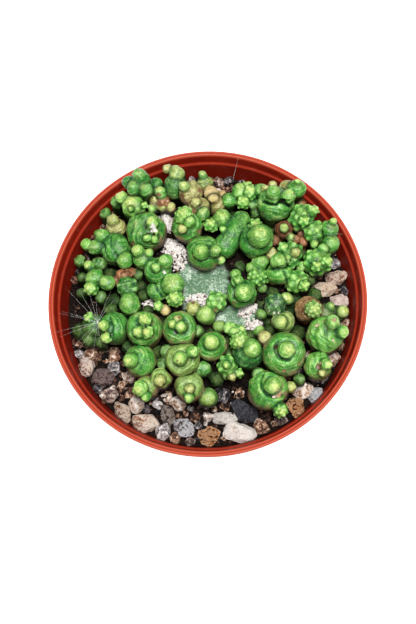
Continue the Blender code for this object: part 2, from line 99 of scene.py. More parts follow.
# How a ball of flesh looks: heights of its rings and lumps in mm, how pale its tip is, how corky its low parts
# are, how light it is from -1 to 1, and how warm its colour is from 0, green, over 1, tan, to 2, dry brown.
Look = namedtuple("Look", "rings lumps tip cork shade warm")
LOOKS = {
    "body": Look(0.13, 0, 0.0, 0.9, 0.05, 0.05),
    "smooth": Look(0.05, 0, 0.0, 0.3, -0.38, 0),
    "bright": Look(0.09, 0, 0.0, 0.7, 0.40, 0.08),
    "ringed": Look(0.22, 0, 0.1, 1.1, -0.15, 0.05),
    "olive": Look(0.13, 0, 0.0, 1.0, 0.3, 0.35),
    "lumpy": Look(0.0, 0.95, 0.3, 0.2, 0.12, 0),
    "dark": Look(0.06, 0.28, 0.0, 0.2, -1.3, 0),
    "dark_lumpy": Look(0.0, 0.50, 0.1, 0.2, -1.1, 0),
    "light": Look(0.10, 0.16, 0.8, 0.1, 0.15, 0.05),
    "striped": Look(0.20, 0, 0.2, 1.3, -0.1, 0.6),
    "grey_brown": Look(0.30, 0, 0.0, 1.0, -0.5, 1.60),
    "rust": Look(0.12, 0, 0.0, 0.2, -1.0, 2.0),
    "amber": Look(0.04, 0.20, 0.0, 0.1, 0.1, 1.9),
    "yellow": Look(0.08, 0.16, 0.6, 0.3, 0.6, 0.25),
    "tan": Look(0.10, 0.15, 0.6, 0.4, 0.5, 0.90),
    "dry": Look(0.08, 0.55, 0.0, 0.5, -0.5, 1.8),
    "brown": Look(0.05, 0.30, 1.0, 0.5, 0.1, 0.5),
    "coiled": Look(0.16, 0.08, 1.0, 0.1, 0.2, 0),
    "knob": Look(0.10, 0.20, 0.95, 0.1, 0.08, 0),
    "pale": Look(0.08, 0.18, 1.5, 0.0, 0.4, 0.12),
    "puff": Look(0.03, 0.36, 1.6, 0.0, 0.45, 0.12),
    "star": Look(0.0, 0.72, 1.1, 0.1, 0.17, 0),
    "green": Look(0.12, 0.16, 0.5, 0.2, -0.12, 0),
}

# Each head has the slot of its skin, the depth of the dimple round its first knob, its bodies as
# (x, y, height, radius, look) and its knobs as (x, y, radius, look).
HEADS = {
    "scarred_head": ("green_skin", 1.5, [(-20, 27.5, 3, 7.6, "ringed")],
                     [(-17.2, 28.2, 2.5, "pale"), (-19.6, 22.8, 1.5, "knob"), (-16.8, 22.2, 1.5, "knob"),
                      (-16.2, 25, 1.2, "pale")]),
    "pale_knob_head": ("green_skin", 0, [(-4.4, 27, 4, 5.7, "ringed")],
                       [(-5.1, 29.6, 2.9, "star"), (-3.3, 26.8, 2, "knob"), (-6.2, 24.4, 1.5, "brown")]),
    "smooth_head": ("green_skin", 0.8, [(0.8, 16, 3.5, 6.4, "body")],
                    [(-0.2, 14.6, 3.2, "coiled"), (5, 14.5, 2.6, "light"), (6.8, 12.4, 1.7, "pale")]),
    "crescent_head": ("green_skin", 0, [(9, 17.8, 3.4, 4.3, "smooth"), (12.8, 22.4, 4, 4.6, "smooth"),
                                        (16.2, 26.8, 3.4, 4.1, "smooth"), (9.2, 28.6, 4, 3.7, "light")],
                      [(4.8, 26.8, 2.6, "star"), (9, 23.2, 1.5, "knob")]),
    "ringed_head": ("green_skin", 1.5, [(20.8, 18.6, 4, 6.8, "smooth")],
                    [(21.8, 17.6, 4.2, "coiled"), (21, 22, 2.4, "star")]),
    "wide_head": ("green_skin", 0, [(30, 32, 4, 6.9, "smooth")],
                  [(29.4, 34.4, 2.9, "green"), (34.6, 32.4, 2.8, "light")]),
    "back_cluster_head": ("deep_green_skin", 0, [(-20.3, 45.4, 3.6, 5.2, "smooth"),
                                                (-13.2, 42.9, 3.4, 2.4, "pale"), (-12.8, 40.2, 0.2, 2.4, "dry"),
                                                (-14.6, 46.2, 2.6, 3.2, "smooth")],
                          [(-19.6, 47.2, 3.5, "green"), (-22.6, 43.6, 3.1, "green"), (-18.6, 42.4, 2.8, "knob"),
                           (-24.6, 46.4, 2.6, "smooth")]),
    "bumpy_head": ("green_skin", 0, [(-24, 38.4, 3.4, 4.5, "puff")],
                   [(-27.8, 41.6, 2.4, "pale"), (-21, 34, 2, "star"), (-24.8, 35.8, 1.4, "pale"),
                    (-19.8, 37.2, 1.5, "star")]),
    "pale_ball_head": ("striped_skin", 0, [(-5.8, 48.8, 5.6, 3.2, "yellow"), (-7.0, 45, 2.4, 4.8, "smooth")],
                       [(-9.4, 51, 1.7, "brown")]),
    "striped_back_head": ("striped_skin", 0, [(-1.6, 41, 4, 4.6, "striped"), (1.2, 34.4, 2.8, 4.2, "striped")],
                          [(-3.8, 42, 2, "pale"), (0, 35.4, 1.9, "brown"), (2.4, 30.8, 2.6, "green")]),
    "stacked_head": ("tan_skin", 0, [(4.2, 45, 1.4, 3.3, "olive"), (6.2, 40.2, 2.4, 3.1, "tan"),
                                     (7.8, 36.8, -1, 3.8, "striped")],
                     [(3.8, 47.6, 1.8, "knob"), (6.6, 38.2, 2.4, "tan"), (10.6, 40.6, 1.9, "tan")]),
    "small_back_head": ("green_skin", 0, [(17.2, 39.8, 2.6, 3, "light"), (12.8, 37.4, 0, 3.1, "smooth"),
                                          (25.6, 38.4, 3.4, 3, "green")],
                        [(21, 38.2, 2.9, "star"), (18, 34.6, 2.3, "star"), (20.2, 41.4, 1.6, "star"),
                         (26.8, 38, 1.5, "brown")]),
    "rim_head": ("green_skin", 0, [(38.6, 37.2, 5.4, 3.5, "green"), (35.4, 38.2, 2.6, 3.2, "striped")],
                 [(39.0, 38.2, 1.1, "pale")]),
    "red_brown_head": ("striped_skin", 0, [(32.2, 23.2, 1, 3.6, "rust")],
                       [(31.8, 21.8, 1.6, "knob"), (34.4, 19, 1.8, "green"), (36.4, 18.2, 1.7, "amber")]),
    "lumpy_right_head": ("green_skin", 0, [(39, 25.8, 3, 4.6, "lumpy"), (43.2, 19.6, 2, 3.8, "lumpy")],
                         [(43.2, 27, 2.2, "star"), (39.4, 22.8, 1.9, "star"), (42.6, 14.8, 2.1, "knob")]),
    "edge_pair_head": ("green_skin", 0, [(49, 19.8, 3.4, 3.3, "green"), (48.4, 14.2, 2.6, 3.4, "green"),
                                         (43, 8.6, 0.6, 4.9, "lumpy")],
                       [(50.2, 21.6, 1.5, "pale"), (45.6, 12.4, 2.2, "green"), (41.6, 5.4, 1.8, "star"),
                        (45.8, 6.8, 1.7, "star")]),
    "lumpy_middle_head": ("deep_green_skin", 0, [(32.6, 11.8, 1.6, 4.6, "lumpy")],
                          [(34.8, 11.2, 1.7, "brown"), (30.4, 14, 1.6, "star"), (30.8, 9.4, 1.5, "star")]),
    "ball_trio_head": ("green_skin", 0, [(21.8, 10.4, 2, 3.2, "green"), (19.8, 5.2, 0.6, 3.4, "lumpy")],
                       [(17.4, 8.8, 2, "green")]),
    "twin_top_head": ("green_skin", 0, [(27.8, 5.8, 1, 4.9, "bright"), (34.2, 1.4, 0.2, 4, "lumpy")],
                      [(28, 8.4, 2.9, "green"), (36.2, -1.2, 1.8, "star")]),
    "pyramid_head": ("green_skin", 0, [(13, -1, 2, 5.6, "smooth")],
                     [(11.8, 6.4, 2.4, "green"), (11.8, 2.2, 2.5, "green"), (13.4, -2.6, 3.5, "knob")]),
    "small_centre_head": ("green_skin", 0, [(3.4, -3, 1.6, 3.5, "lumpy"), (-1.4, -7, 0.4, 3.6, "yellow")],
                          [(-5.2, -4.4, 2.7, "brown")]),
    "left_round_head": ("green_skin", 0, [(-32.6, 22.8, 1, 5.8, "smooth"), (-31.4, 31.2, 1, 3.9, "striped")],
                        [(-36.8, 27.6, 2.7, "green"), (-39.6, 24.2, 3, "green"), (-29, 17.2, 3.3, "green"),
                         (-32.2, 33.2, 2, "brown")]),
    "twin_small_head": ("green_skin", 0, [(-17.2, 11.4, 3, 5.3, "smooth"), (-22.6, 16.8, 3, 3.8, "green")],
                        [(-14, 13.2, 2.6, "green"), (-17.6, 10.8, 1.8, "knob"), (-23.8, 19, 2.6, "pale"),
                         (-19.6, 18, 1.8, "pale")]),
    "middle_ball_head": ("green_skin", 0, [(-12, 4.8, 4.6, 4.1, "light"), (-18, 4, 1, 4.1, "smooth")],
                         [(-11.8, -1, 2.8, "star")]),
    "left_ball_head": ("green_skin", 0, [(-41.4, 12.4, 1, 3.5, "green")],
                       [(-43, 17, 2, "pale"), (-36.8, 9.6, 2.9, "green"), (-42.8, 8, 2.5, "star")]),
    "left_lumpy_head": ("green_skin", 0, [(-28.8, 0, 2.6, 4.1, "green"), (-29.2, 6.8, 0.6, 3.8, "dark_lumpy")],
                        [(-29.4, 11.8, 1.9, "dry")]),
    "haired_head": ("green_skin", 1.0, [(-35.6, -8.2, 1, 5.6, "smooth"), (-43.2, -5.6, -2.4, 4.4, "dark_lumpy")],
                    [(-39, -8.2, 1.9, "puff"), (-38.2, -12.6, 1.9, "puff"), (-44.6, -3.4, 1.7, "star")]),
    "bun_left_head": ("green_skin", 1.2, [(-24.4, -10.6, 3, 6.7, "body")],
                      [(-23.2, -8.6, 2.7, "puff"), (-26, -13, 2.2, "puff"), (-22.8, -13.4, 2.4, "puff")]),
    "bun_middle_head": ("green_skin", 1.0, [(-11.2, -12.4, 3.8, 6.3, "body")],
                        [(-10.4, -13.2, 2.3, "pale"), (-13.6, -11.8, 1.6, "pale"), (-11.4, -10.2, 1.3, "brown")]),
    "front_left_head": ("green_skin", 0.8, [(-27, -21.6, 1, 5.9, "body")],
                        [(-30.4, -22.4, 2.8, "pale")]),
    "bun_low_head": ("green_skin", 1.0, [(-11.6, -23.6, 2, 6.3, "olive")],
                     [(-12.2, -24.4, 2.5, "pale"), (-7.2, -22.4, 2.2, "knob")]),
    "bun_small_head": ("green_skin", 1.2, [(-0.4, -20, 2.6, 5.4, "body")],
                       [(-0.4, -19.6, 2.9, "pale")]),
    "brown_tip_head": ("green_skin", 0.6, [(-20.2, -29, 0, 3.7, "olive"), (-25.8, -31.6, -2, 4.4, "olive")],
                       [(-20.4, -30.8, 2, "brown"), (-28, -32.4, 2.4, "puff"), (-26.2, -35.4, 1.7, "green")]),
    "front_middle_head": ("green_skin", 0.6, [(-10.2, -33, -1, 5.5, "olive"), (-3.8, -37.4, -3.4, 3.6, "light")],
                          [(-10, -35, 1.6, "brown"), (-10.8, -38, 2, "knob")]),
    "small_lumpy_head": ("green_skin", 0, [(4.6, -27.4, 0, 3.7, "lumpy")],
                         [(8.2, -30.6, 1.8, "star"), (5.8, -31.6, 1.7, "brown"), (4.2, -27.8, 1.6, "pale")]),
    "double_knob_head": ("green_skin", 0.6, [(12.4, -24.2, 1, 5.6, "dark"), (10, -19.8, 3.6, 3.4, "star")],
                         [(14.2, -23.4, 3.3, "knob"), (8.8, -15.8, 2, "knob")]),
    "largest_head": ("green_skin", 1.6, [(25.4, -26.2, 3.6, 7.9, "body")],
                     [(26.2, -26.2, 3, "pale")]),
    "front_right_head": ("green_skin", 1.4, [(18, -38, 0, 7.2, "body")],
                         [(20, -37.8, 3.1, "pale"), (21.8, -45.8, 2.5, "star"), (26.4, -38.2, 1.9, "brown")]),
    "folded_head": ("green_skin", 0, [(41.6, -20.2, 1, 7.2, "bright")],
                    [(44, -17.8, 2.8, "green"), (47.4, -21.2, 2.5, "knob")]),
    "right_low_head": ("green_skin", 0, [(37.2, -31, 0, 5.3, "bright")],
                       [(40, -32, 2.3, "pale"), (38, -34.8, 1.5, "brown")]),
    "striped_right_head": ("striped_skin", 0.8, [(37, -9.8, 1, 4.9, "grey_brown"), (43, -10.8, -3.4, 3.8, "smooth"),
                                                 (48.4, -11.2, -4, 3.3, "smooth")],
                           [(38, -11.6, 2.9, "star"), (45.4, -9.2, 1.8, "knob"), (49.6, -11.4, 2.2, "pale")]),
    "yellowish_head": ("tan_skin", 0, [(24.8, -6.8, 1, 4, "dark_lumpy"), (27, -13, -0.4, 4.1, "yellow")],
                       [(29.4, -4.8, 2.3, "pale"), (25.8, -14.2, 2.7, "pale")]),
}

# Bodies that run on into each other, by their places in the head's list
BRIDGES = {"crescent_head": ((0, 1), (1, 2))}

# Creases in the tops of heads, as (depth, half width, line of places), all in mm
CREASES = {
    "wide_head": ((1.4, 0.55, ((25.0, 32.2), (27.2, 30.4), (29.7, 29.6), (31.7, 31.0), (33.4, 29.6), (36.4, 29.2))),),
    "largest_head": ((0.8, 0.7, ((23.2, -22.6), (21.9, -25.0), (22.4, -27.5), (24.1, -29.0), (26.5, -30.0))),),
    "front_right_head": ((0.9, 0.6, ((16.9, -33.1), (15.7, -35.5), (15.7, -38.4), (17.3, -40.8), (20.0, -42.2),
                                     (23.0, -41.4))),),
    "folded_head": ((0.45, 0.7, ((38.4, -17.0), (37.6, -20.0), (37.0, -22.5), (37.6, -25.5), (39.0, -28.2))),
                    (0.45, 0.7, ((41.6, -17.0), (41.4, -20.4), (40.9, -22.9), (41.5, -26.0), (43.0, -28.4))),
                    (0.35, 0.6, ((45.4, -19.6), (44.4, -22.4), (45.9, -26.2))),
                    (0.35, 0.5, ((35.7, -18.9), (34.4, -22.4), (35.8, -25.4)))),
    "twin_top_head": ((0.9, 0.5, ((24.0, 7.1), (25.7, 5.9), (27.9, 5.5), (30.5, 6.1), (31.8, 7.6))),
                      (0.7, 0.5, ((29.6, 4.8), (30.3, 2.0), (28.6, -1.6)))),
    "haired_head": ((0.7, 0.5, ((-36.6, -4.6), (-35.6, -9.3), (-36.6, -13.0))),),
    "left_round_head": ((0.7, 0.5, ((-36.9, 24.2), (-36.5, 20.6), (-34.7, 16.6))),
                        (0.5, 0.5, ((-33.5, 27.0), (-33.8, 22.7), (-32.0, 18.6)))),
    "middle_ball_head": ((0.7, 0.5, ((-18.8, 6.6), (-17.9, 3.0), (-15.6, 0.0))),),
    "pyramid_head": ((0.8, 0.5, ((9.6, 3.4), (10.6, 0.5), (9.4, -3.4))),),
    "right_low_head": ((0.4, 0.5, ((36.2, -27.0), (36.0, -30.2), (37.4, -33.4))),
                       (0.3, 0.4, ((38.8, -27.2), (38.2, -29.6)))),
    "front_left_head": ((0.3, 0.5, ((-27.6, -17.0), (-26.2, -21.0), (-27.2, -25.6))),),
    "smooth_head": ((0.5, 0.45, ((-4.2, 18.0), (-1.0, 20.2), (3.2, 19.4), (6.4, 16.8))),),
    "bun_low_head": ((0.4, 0.5, ((-15.6, -22.4), (-14.8, -26.4), (-11.8, -28.0), (-8.6, -26.6), (-7.4, -24.6))),),
    "bun_middle_head": ((0.2, 0.4, ((-15.0, -14.4), (-12.4, -16.4), (-8.6, -15.8))),),
    "bun_left_head": ((0.2, 0.4, ((-28.6, -11.6), (-27.8, -15.0), (-24.4, -16.6), (-20.8, -15.6))),),
}

# Scars, pits and seams as (x, y, radius, tone), where the tone runs from 0, black, over brown to 1, white; the black
# and near-black ones are painted shade in holes and slots
SCARS = {
    "scarred_head": ((-17.1, 26.0, 1.1, 1.0), (-16.4, 25.0, 0.7, 1.0), (-19.1, 24.4, 0.6, 0.0),
                     (-17.0, 23.9, 0.6, 0.0), (-19.6, 26.9, 0.4, 0.1), (-25.4, 22.4, 0.9, 0.35)),
    "bun_middle_head": ((-12.5, -14.6, 0.7, 0.0), (-11.0, -9.8, 0.5, 0.4)),
    "bun_left_head": ((-23.4, -11.4, 0.6, 0.0), (-21.6, -11.2, 0.5, 0.0)),
    "front_right_head": ((21.7, -40.8, 1.2, 0.65), (20.0, -41.6, 0.6, 0.85), (24.3, -40.6, 0.9, 0.5)),
    "folded_head": ((38.4, -17.4, 0.7, 0.75), (44.4, -17.4, 0.8, 0.55), (43.6, -24.0, 0.5, 0.85),
                    (35.0, -22.6, 0.8, 0.4)),
    "right_low_head": ((36.9, -32.5, 1.0, 0.3), (37.8, -31.4, 0.5, 0.7)),
    "largest_head": ((22.4, -24.4, 0.9, 0.1), (30.8, -32.0, 1.1, 0.45), (24.4, -33.6, 0.8, 0.5),
                     (32.4, -29.6, 0.7, 0.55)),
    "pale_knob_head": ((-5.6, 25.6, 0.5, 0.2), (0.6, 23.4, 1.3, 0.45), (-1.0, 21.6, 1.2, 0.5)),
    "yellowish_head": ((24.0, -10.2, 0.4, 1.0), (25.6, -10.4, 0.4, 1.0), (22.2, -9.2, 0.4, 1.0)),
    "twin_small_head": ((-14.6, 9.2, 0.5, 1.0), (-19.0, 14.4, 0.4, 0.1)),
    "wide_head": ((31.8, 30.4, 0.8, 0.0), (37.4, 33.0, 0.8, 0.4), (24.0, 28.0, 0.9, 0.4)),
    "haired_head": ((-38.6, -10.6, 0.6, 0.6), (-40.2, -6.4, 0.5, 0.7)),
    "back_cluster_head": ((-14.2, 40.6, 1.4, 0.45),),
    "striped_back_head": ((-5.0, 38.6, 1.4, 0.4), (2.6, 40.4, 1.2, 0.42), (-2.0, 32.0, 1.4, 0.4)),
    "bumpy_head": ((-18.0, 40.6, 1.2, 0.45), (-24.6, 41.6, 0.6, 0.5)),
    "small_centre_head": ((-5.4, -2.2, 0.8, 0.4), (2.8, -6.8, 0.9, 0.45)),
    "pyramid_head": ((18.4, -4.4, 1.4, 0.4), (9.2, -5.6, 1.2, 0.42)),
    "bun_low_head": ((-13.2, -25.6, 0.4, 0.2), (-12.2, -26.6, 0.4, 0.2)),
}

# Low buds between the heads, as (x, y, height over the rim, radius, look) in mm; the dark looks among them are
# painted shade of the gaps
LOW_BUDS = (
    (-43.4, 26.4, 0.5, 2.2, "green"), (-46.8, 20.4, -2, 2.2, "dark_lumpy"), (-39.6, 18.8, -2, 2.7, "dark"),
    (-46.6, 14.4, -3, 2.2, "dark"), (-47.4, 8.4, -4, 2.2, "dark"), (-40.0, 5.4, -2.4, 2.5, "dark"),
    (-35.4, 38.6, -2, 2.4, "dark"), (-30.4, 42.6, -0.6, 2.4, "dark_lumpy"), (-16.2, 41.6, 0, 2.0, "striped"),
    (-13.0, 38.8, -0.4, 1.9, "brown"), (-9.6, 37.8, -0.6, 2.0, "striped"), (-17.4, 38.4, -1, 1.8, "green"),
    (-31.2, 12.6, 0, 2.0, "amber"), (-27.6, 13.6, -1, 1.9, "amber"), (-33.6, 11.0, -1.4, 1.8, "dry"),
    (-25.2, 13.0, -2.4, 2.4, "dark"), (-18.6, -2.0, 1.4, 1.8, "star"), (-16.0, -3.6, 0.4, 1.9, "tan"),
    (7.6, -13.6, 0, 2.3, "star"), (11.4, -14.0, -0.6, 1.8, "knob"), (22.0, 35.2, -0.4, 2.5, "dark"),
    (39.6, 35.6, -2.0, 2.0, "tan"), (40.7, 33.7, -2.4, 2.0, "amber"),
    (22.6, 32.0, -2, 2.4, "dark_lumpy"), (2.6, 38.2, -1, 2.0, "green"), (26.2, 14.0, 0, 2.6, "striped"),
    (20.8, 1.4, -2, 1.9, "dark"), (38.8, 21.0, -1, 1.8, "rust"), (39.0, 17.6, -1, 2.0, "amber"),
    (18.0, -15.2, -1.4, 2.3, "green"), (19.6, -18.4, 0, 2.6, "striped"), (19.6, -9.0, -2, 2.2, "dark"),
    (-4.4, -27.2, -1.6, 3.2, "dark"), (15.6, -31.6, -1, 2.6, "dark"), (30.4, -35.0, -2.4, 2.4, "dark"),
    (-45.6, -10.0, -4, 2.8, "dark_lumpy"), (-49.2, -6.4, -4.6, 2.6, "dark_lumpy"), (-41.4, -11.8, -4, 2.4, "dark_lumpy"),
    (30.2, 42.0, -0.6, 1.7, "striped"), (-16.8, -19.0, -2, 2.6, "dark"), (-19.4, -23.6, -2.4, 2.4, "dark"),
    (-5.0, -12.6, -1.6, 2.6, "dark"), (3.6, -11.4, -2.4, 2.4, "green"), (36.8, 8.0, -1, 2.2, "green"),
    (28.4, 20.4, -2.6, 2.0, "dry"), (-38.6, 30.6, -1.6, 2.2, "dark"), (-42.6, 11.8, -4, 2.4, "dark"),
)
# Filler buds take dark looks: painted shade in the gaps between the heads
BUD_LOOKS = ("dark_lumpy", "dark_lumpy", "dark")
BUD_RADIUS = 2.6 * MM

# Stones as (x, y, half width, half depth, half height, turn), then main and patch colour, patch share and pits.
STONES = {
    "left_white_stone": ((-48.6, -18, 3.2, 4.7, 3.0, -24), (0.95, 0.72, 0.58), (0.32, 0.12, 0.055), 0.50, 0.3),
    "left_brown_stone": ((-43.6, -23.4, 4.5, 4.4, 3.4, 30), (0.169, 0.102, 0.09), (0.065, 0.035, 0.034), 0.45, 0.4),
    "white_brown_stone": ((-36.4, -37.6, 3.2, 4.6, 3.0, 34), (0.82, 0.62, 0.45), (0.34, 0.125, 0.04), 0.54, 0.4),
    "cream_brown_stone": ((-28, -42.4, 5.2, 3.8, 3.2, -8), (0.93, 0.74, 0.58), (0.44, 0.165, 0.055), 0.52, 0.2),
    "grey_brown_stone": ((-20, -41.2, 2.9, 4.1, 3.0, 10), (0.271, 0.203, 0.158), (0.05, 0.035, 0.03), 0.5, 0.6),
    "speckled_stone": ((-14.8, -46.4, 3.9, 4.8, 3.4, 35), (0.82, 0.80, 0.82), (0.16, 0.11, 0.11), 0.45, 0.6),
    "porous_stone": ((-5, -50.4, 4.2, 3.7, 3.0, 0), (0.88, 0.36, 0.13), (0.34, 0.085, 0.022), 0.40, 1.0),
    "long_cream_stone": ((0.8, -44.6, 5.1, 2.6, 2.8, -6), (0.814, 0.746, 0.667), (0.45, 0.37, 0.30), 0.25, 0.1),
    "big_cream_stone": ((6, -50.4, 6.1, 3.9, 3.6, -10), (0.904, 0.825, 0.746), (0.58, 0.44, 0.34), 0.25, 0.0),
    "charcoal_stone": ((9, -42.6, 5.4, 4.3, 3.2, -30), (0.024, 0.024, 0.031), (0.080, 0.080, 0.100), 0.35, 0.5),
    "fibrous_stone": ((28, -43.6, 3.9, 4.4, 3.2, -20), (0.80, 0.31, 0.105), (0.28, 0.070, 0.018), 0.42, 1.0),
    "white_grey_stone": ((36, -39.8, 3.3, 3.7, 3.0, 20), (0.701, 0.701, 0.723), (0.24, 0.22, 0.22), 0.35, 0.4),
    "right_tan_stone": ((51, 5, 4.8, 3.5, 3.6, 10), (0.92, 0.67, 0.50), (0.40, 0.155, 0.065), 0.52, 0.3),
    "right_cream_stone": ((45, 0.2, 5.0, 3.6, 3.4, 10), (0.95, 0.71, 0.49), (0.52, 0.235, 0.09), 0.38, 0.2),
    "right_pink_stone": ((50.6, -4.6, 3.7, 3.1, 3.0, 0), (0.92, 0.71, 0.60), (0.46, 0.24, 0.15), 0.38, 0.2),
}

# Small stones as (x, y, radius, tone), where tone runs from 0, black, over brown and tan to 1, white.
PEBBLES = (
    (-50.8, -8.6, 2.7, 0.24), (-45.4, -14.4, 3.9, 0.22), (-37.6, -15.4, 3.0, 0.30), (-38.4, -20.4, 2.9, 0.30),
    (-36.0, -27.4, 2.0, 0.35), (-33.2, -31.2, 2.4, 0.26), (-41.8, -31.0, 3.5, 0.30), (-31.2, -35.4, 3.2, 0.58),
    (-23.2, -35.8, 2.0, 0.56), (-19.4, -33.6, 2.3, 0.52), (-14.8, -36.6, 3.5, 0.56), (-22.8, -47.6, 3.3, 0.42),
    (-18.2, -50.6, 2.2, 0.30), (-9.8, -42.4, 2.1, 0.14), (-33.0, -24.6, 2.6, 0.44), (-38.4, -26.0, 2.2, 0.05),
    (1.2, -35.6, 3.3, 0.09), (1.8, -39.8, 2.0, 0.12), (15.0, -50.2, 3.0, 0.27), (23.0, -49.2, 2.2, 0.22),
    (31.4, -37.0, 3.9, 0.50), (39.8, -33.4, 2.5, 0.32), (45.4, -27.0, 3.1, 0.44), (48.4, -22.0, 2.2, 0.30),
    (51.4, 11.2, 2.5, 0.40), (-50.4, 16.6, 1.8, 0.20), (-44.8, -33.6, 1.8, 0.2),
    (10.2, 51.0, 2.2, 0.28), (13.0, 47.8, 2.0, 0.30), (26.0, 47.6, 1.9, 0.22), (40.4, 39.6, 2.4, 1.0),
    (42.6, 36.8, 2.6, 0.50), (-0.9, 53.4, 1.9, 0.24), (-32.4, -41.6, 1.6, 0.35), (44.6, -15.4, 2.3, 0.5),
    (52.2, -14.0, 2.2, 0.35), (17.2, -45.8, 2.4, 0.08), (-46.6, -28.4, 2.0, 0.2), (34.4, -14.8, 2.4, 0.45),
    (21.6, -13.6, 2.2, 0.52), (-12.4, -51.6, 1.8, 0.25), (29.0, -48.2, 1.8, 0.2), (-27.6, -37.4, 1.6, 0.2),
)

# The open soil at the left, without pebbles, as (x, y, half width, half depth) in mm
BARE_SOIL = (-51, 3, 8, 15)

# White granular crusts on the old body, as (x, y, half width, half depth, height) in mm and turn in degrees
CRUSTS = (
    (-10.6, 19.6, 4.2, 7.0, 3.2, 12), (-12.4, 34.6, 2.8, 5.4, 3.4, 8), (16.4, -12.4, 3.6, 3.0, 2.4, 0),
    (-2.4, -0.8, 5.2, 2.4, 1.4, -10), (14.8, -6.4, 4.0, 2.2, 1.4, 30), (-22.6, 1.2, 2.8, 1.6, 1.0, -30),
)

# Where the star of fine hairs grows, as (x, y, height over the rim) in mm
HAIR_ROOT = (-41.0, -6.5, 4.5)


def smooth_step(low, high, value):
    """0 under low, 1 over high, and a soft rise between them."""
    share = np.clip((value - low) / (high - low), 0, 1)
    return share * share * (3 - 2 * share)


def soft_noise(points, size, seed):
    """Smooth noise from -1 to 1 with lumps of about this size, the same on every run."""
    scaled = points / size + seed * 17.31
    cell = np.floor(scaled).astype(np.int64)
    part = scaled - cell
    part = part * part * (3 - 2 * part)
    total = np.zeros(len(points))
    for corner in itertools.product((0, 1), repeat=3):
        weight = np.prod(np.where(corner, part, 1 - part), axis=1)
        x, y, z = (cell + corner).T
        mixed = (x * 374761393 + y * 668265263 + z * 2147483647 + seed * 144269) & 0xFFFFFFFF
        mixed = ((mixed ^ (mixed >> 13)) * 1274126177) & 0xFFFFFFFF
        total += weight * ((mixed ^ (mixed >> 16)) / 2147483648.0 - 1)
    return total


def layered_noise(points, size, seed, layers=3):
    """Noise with finer layers added at half the size and height each."""
    return sum(soft_noise(points, size / 2 ** n, seed + n) / 2 ** n for n in range(layers))


def mesh_from(name, points, faces):
    """A mesh from arrays of points and of faces that all have the same number of corners."""
    mesh = bpy.data.meshes.new(name)
    corners = faces.shape[1]
    mesh.vertices.add(len(points))
    mesh.vertices.foreach_set("co", np.ascontiguousarray(points, np.float32).ravel())
    mesh.loops.add(faces.size)
    mesh.loops.foreach_set("vertex_index", faces.astype(np.int32).ravel())
    mesh.polygons.add(len(faces))
    mesh.polygons.foreach_set("loop_start", np.arange(0, faces.size, corners, dtype=np.int32))
    mesh.update(calc_edges=True)
    mesh.validate()
    return mesh


def read_points(mesh):
    points = np.empty(len(mesh.vertices) * 3, np.float32)
    mesh.vertices.foreach_get("co", points)
    return points.reshape(-1, 3).astype(float)


def write_points(mesh, points):
    mesh.vertices.foreach_set("co", np.ascontiguousarray(points, np.float32).ravel())
    mesh.update()


def read_normals(mesh):
    normals = np.empty(len(mesh.vertices) * 3, np.float32)
    mesh.vertex_normals.foreach_get("vector", normals)
    return normals.reshape(-1, 3).astype(float)


def write_mask(mesh, name, values):
    """Stores one number for each point, which a material reads by this name."""
    mask = mesh.attributes.get(name) or mesh.attributes.new(name, "FLOAT", "POINT")
    mask.data.foreach_set("value", np.ascontiguousarray(values, np.float32))


def hollows(mesh, rounds=8):
    """How far each point lies under its smoothed surroundings in mm, so negative on edges and lumps."""
    points = read_points(mesh)
    count = len(points)
    ends = np.empty(len(mesh.edges) * 2, np.int32)
    mesh.edges.foreach_get("vertices", ends)
    first, second = ends.reshape(-1, 2).T
    number = np.bincount(first, minlength=count) + np.bincount(second, minlength=count)
    smooth = points
    for _ in range(rounds):
        sums = [np.bincount(first, smooth[second, axis], count) + np.bincount(second, smooth[first, axis], count)
                for axis in range(3)]
        smooth = np.column_stack(sums) / number[:, None]
    return ((smooth - points) * read_normals(mesh)).sum(axis=1) / MM


def add_piece(name, mesh, material, nodes=()):
    """Shows a mesh as a piece of the part, in place of the named solids."""
    piece = bpy.data.objects.new(name, mesh)
    bpy.context.scene.collection.objects.link(piece)
    mesh.materials.append(material)
    mesh.shade_smooth()
    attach(piece, "root")
    if nodes:
        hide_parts(*nodes)
    return piece


def ball_template(fineness):
    """Directions and triangles of a ball with radius 1."""
    bm = bmesh.new()
    bmesh.ops.create_icosphere(bm, subdivisions=fineness, radius=1)
    directions = np.array([vert.co for vert in bm.verts])
    faces = np.array([[vert.index for vert in face.verts] for face in bm.faces])
    bm.free()
    return directions / np.linalg.norm(directions, axis=1)[:, None], faces


def turned_mesh(name, profile, segments):
    """A body turned round the z axis from a list of (radius, z), with radius 0 at both ends."""
    angles = 2 * np.pi * np.arange(segments) / segments
    rings = [np.column_stack([r * np.cos(angles), r * np.sin(angles), np.full(segments, z)])
             for r, z in profile[1:-1]]
    points = np.concatenate(rings + [np.array([(0, 0, profile[0][1]), (0, 0, profile[-1][1])])])
    step = np.arange(segments)
    after = (step + 1) % segments
    faces = []
    for ring in range(len(rings) - 1):
        low, high = ring * segments, (ring + 1) * segments
        faces += np.column_stack([low + step, low + after, high + after]).tolist()
        faces += np.column_stack([low + step, high + after, high + step]).tolist()
    last = (len(rings) - 1) * segments
    foot, top = len(points) - 2, len(points) - 1
    faces += np.column_stack([np.full(segments, foot), after, step]).tolist()
    faces += np.column_stack([last + step, last + after, np.full(segments, top)]).tolist()
    return mesh_from(name, points, np.array(faces))


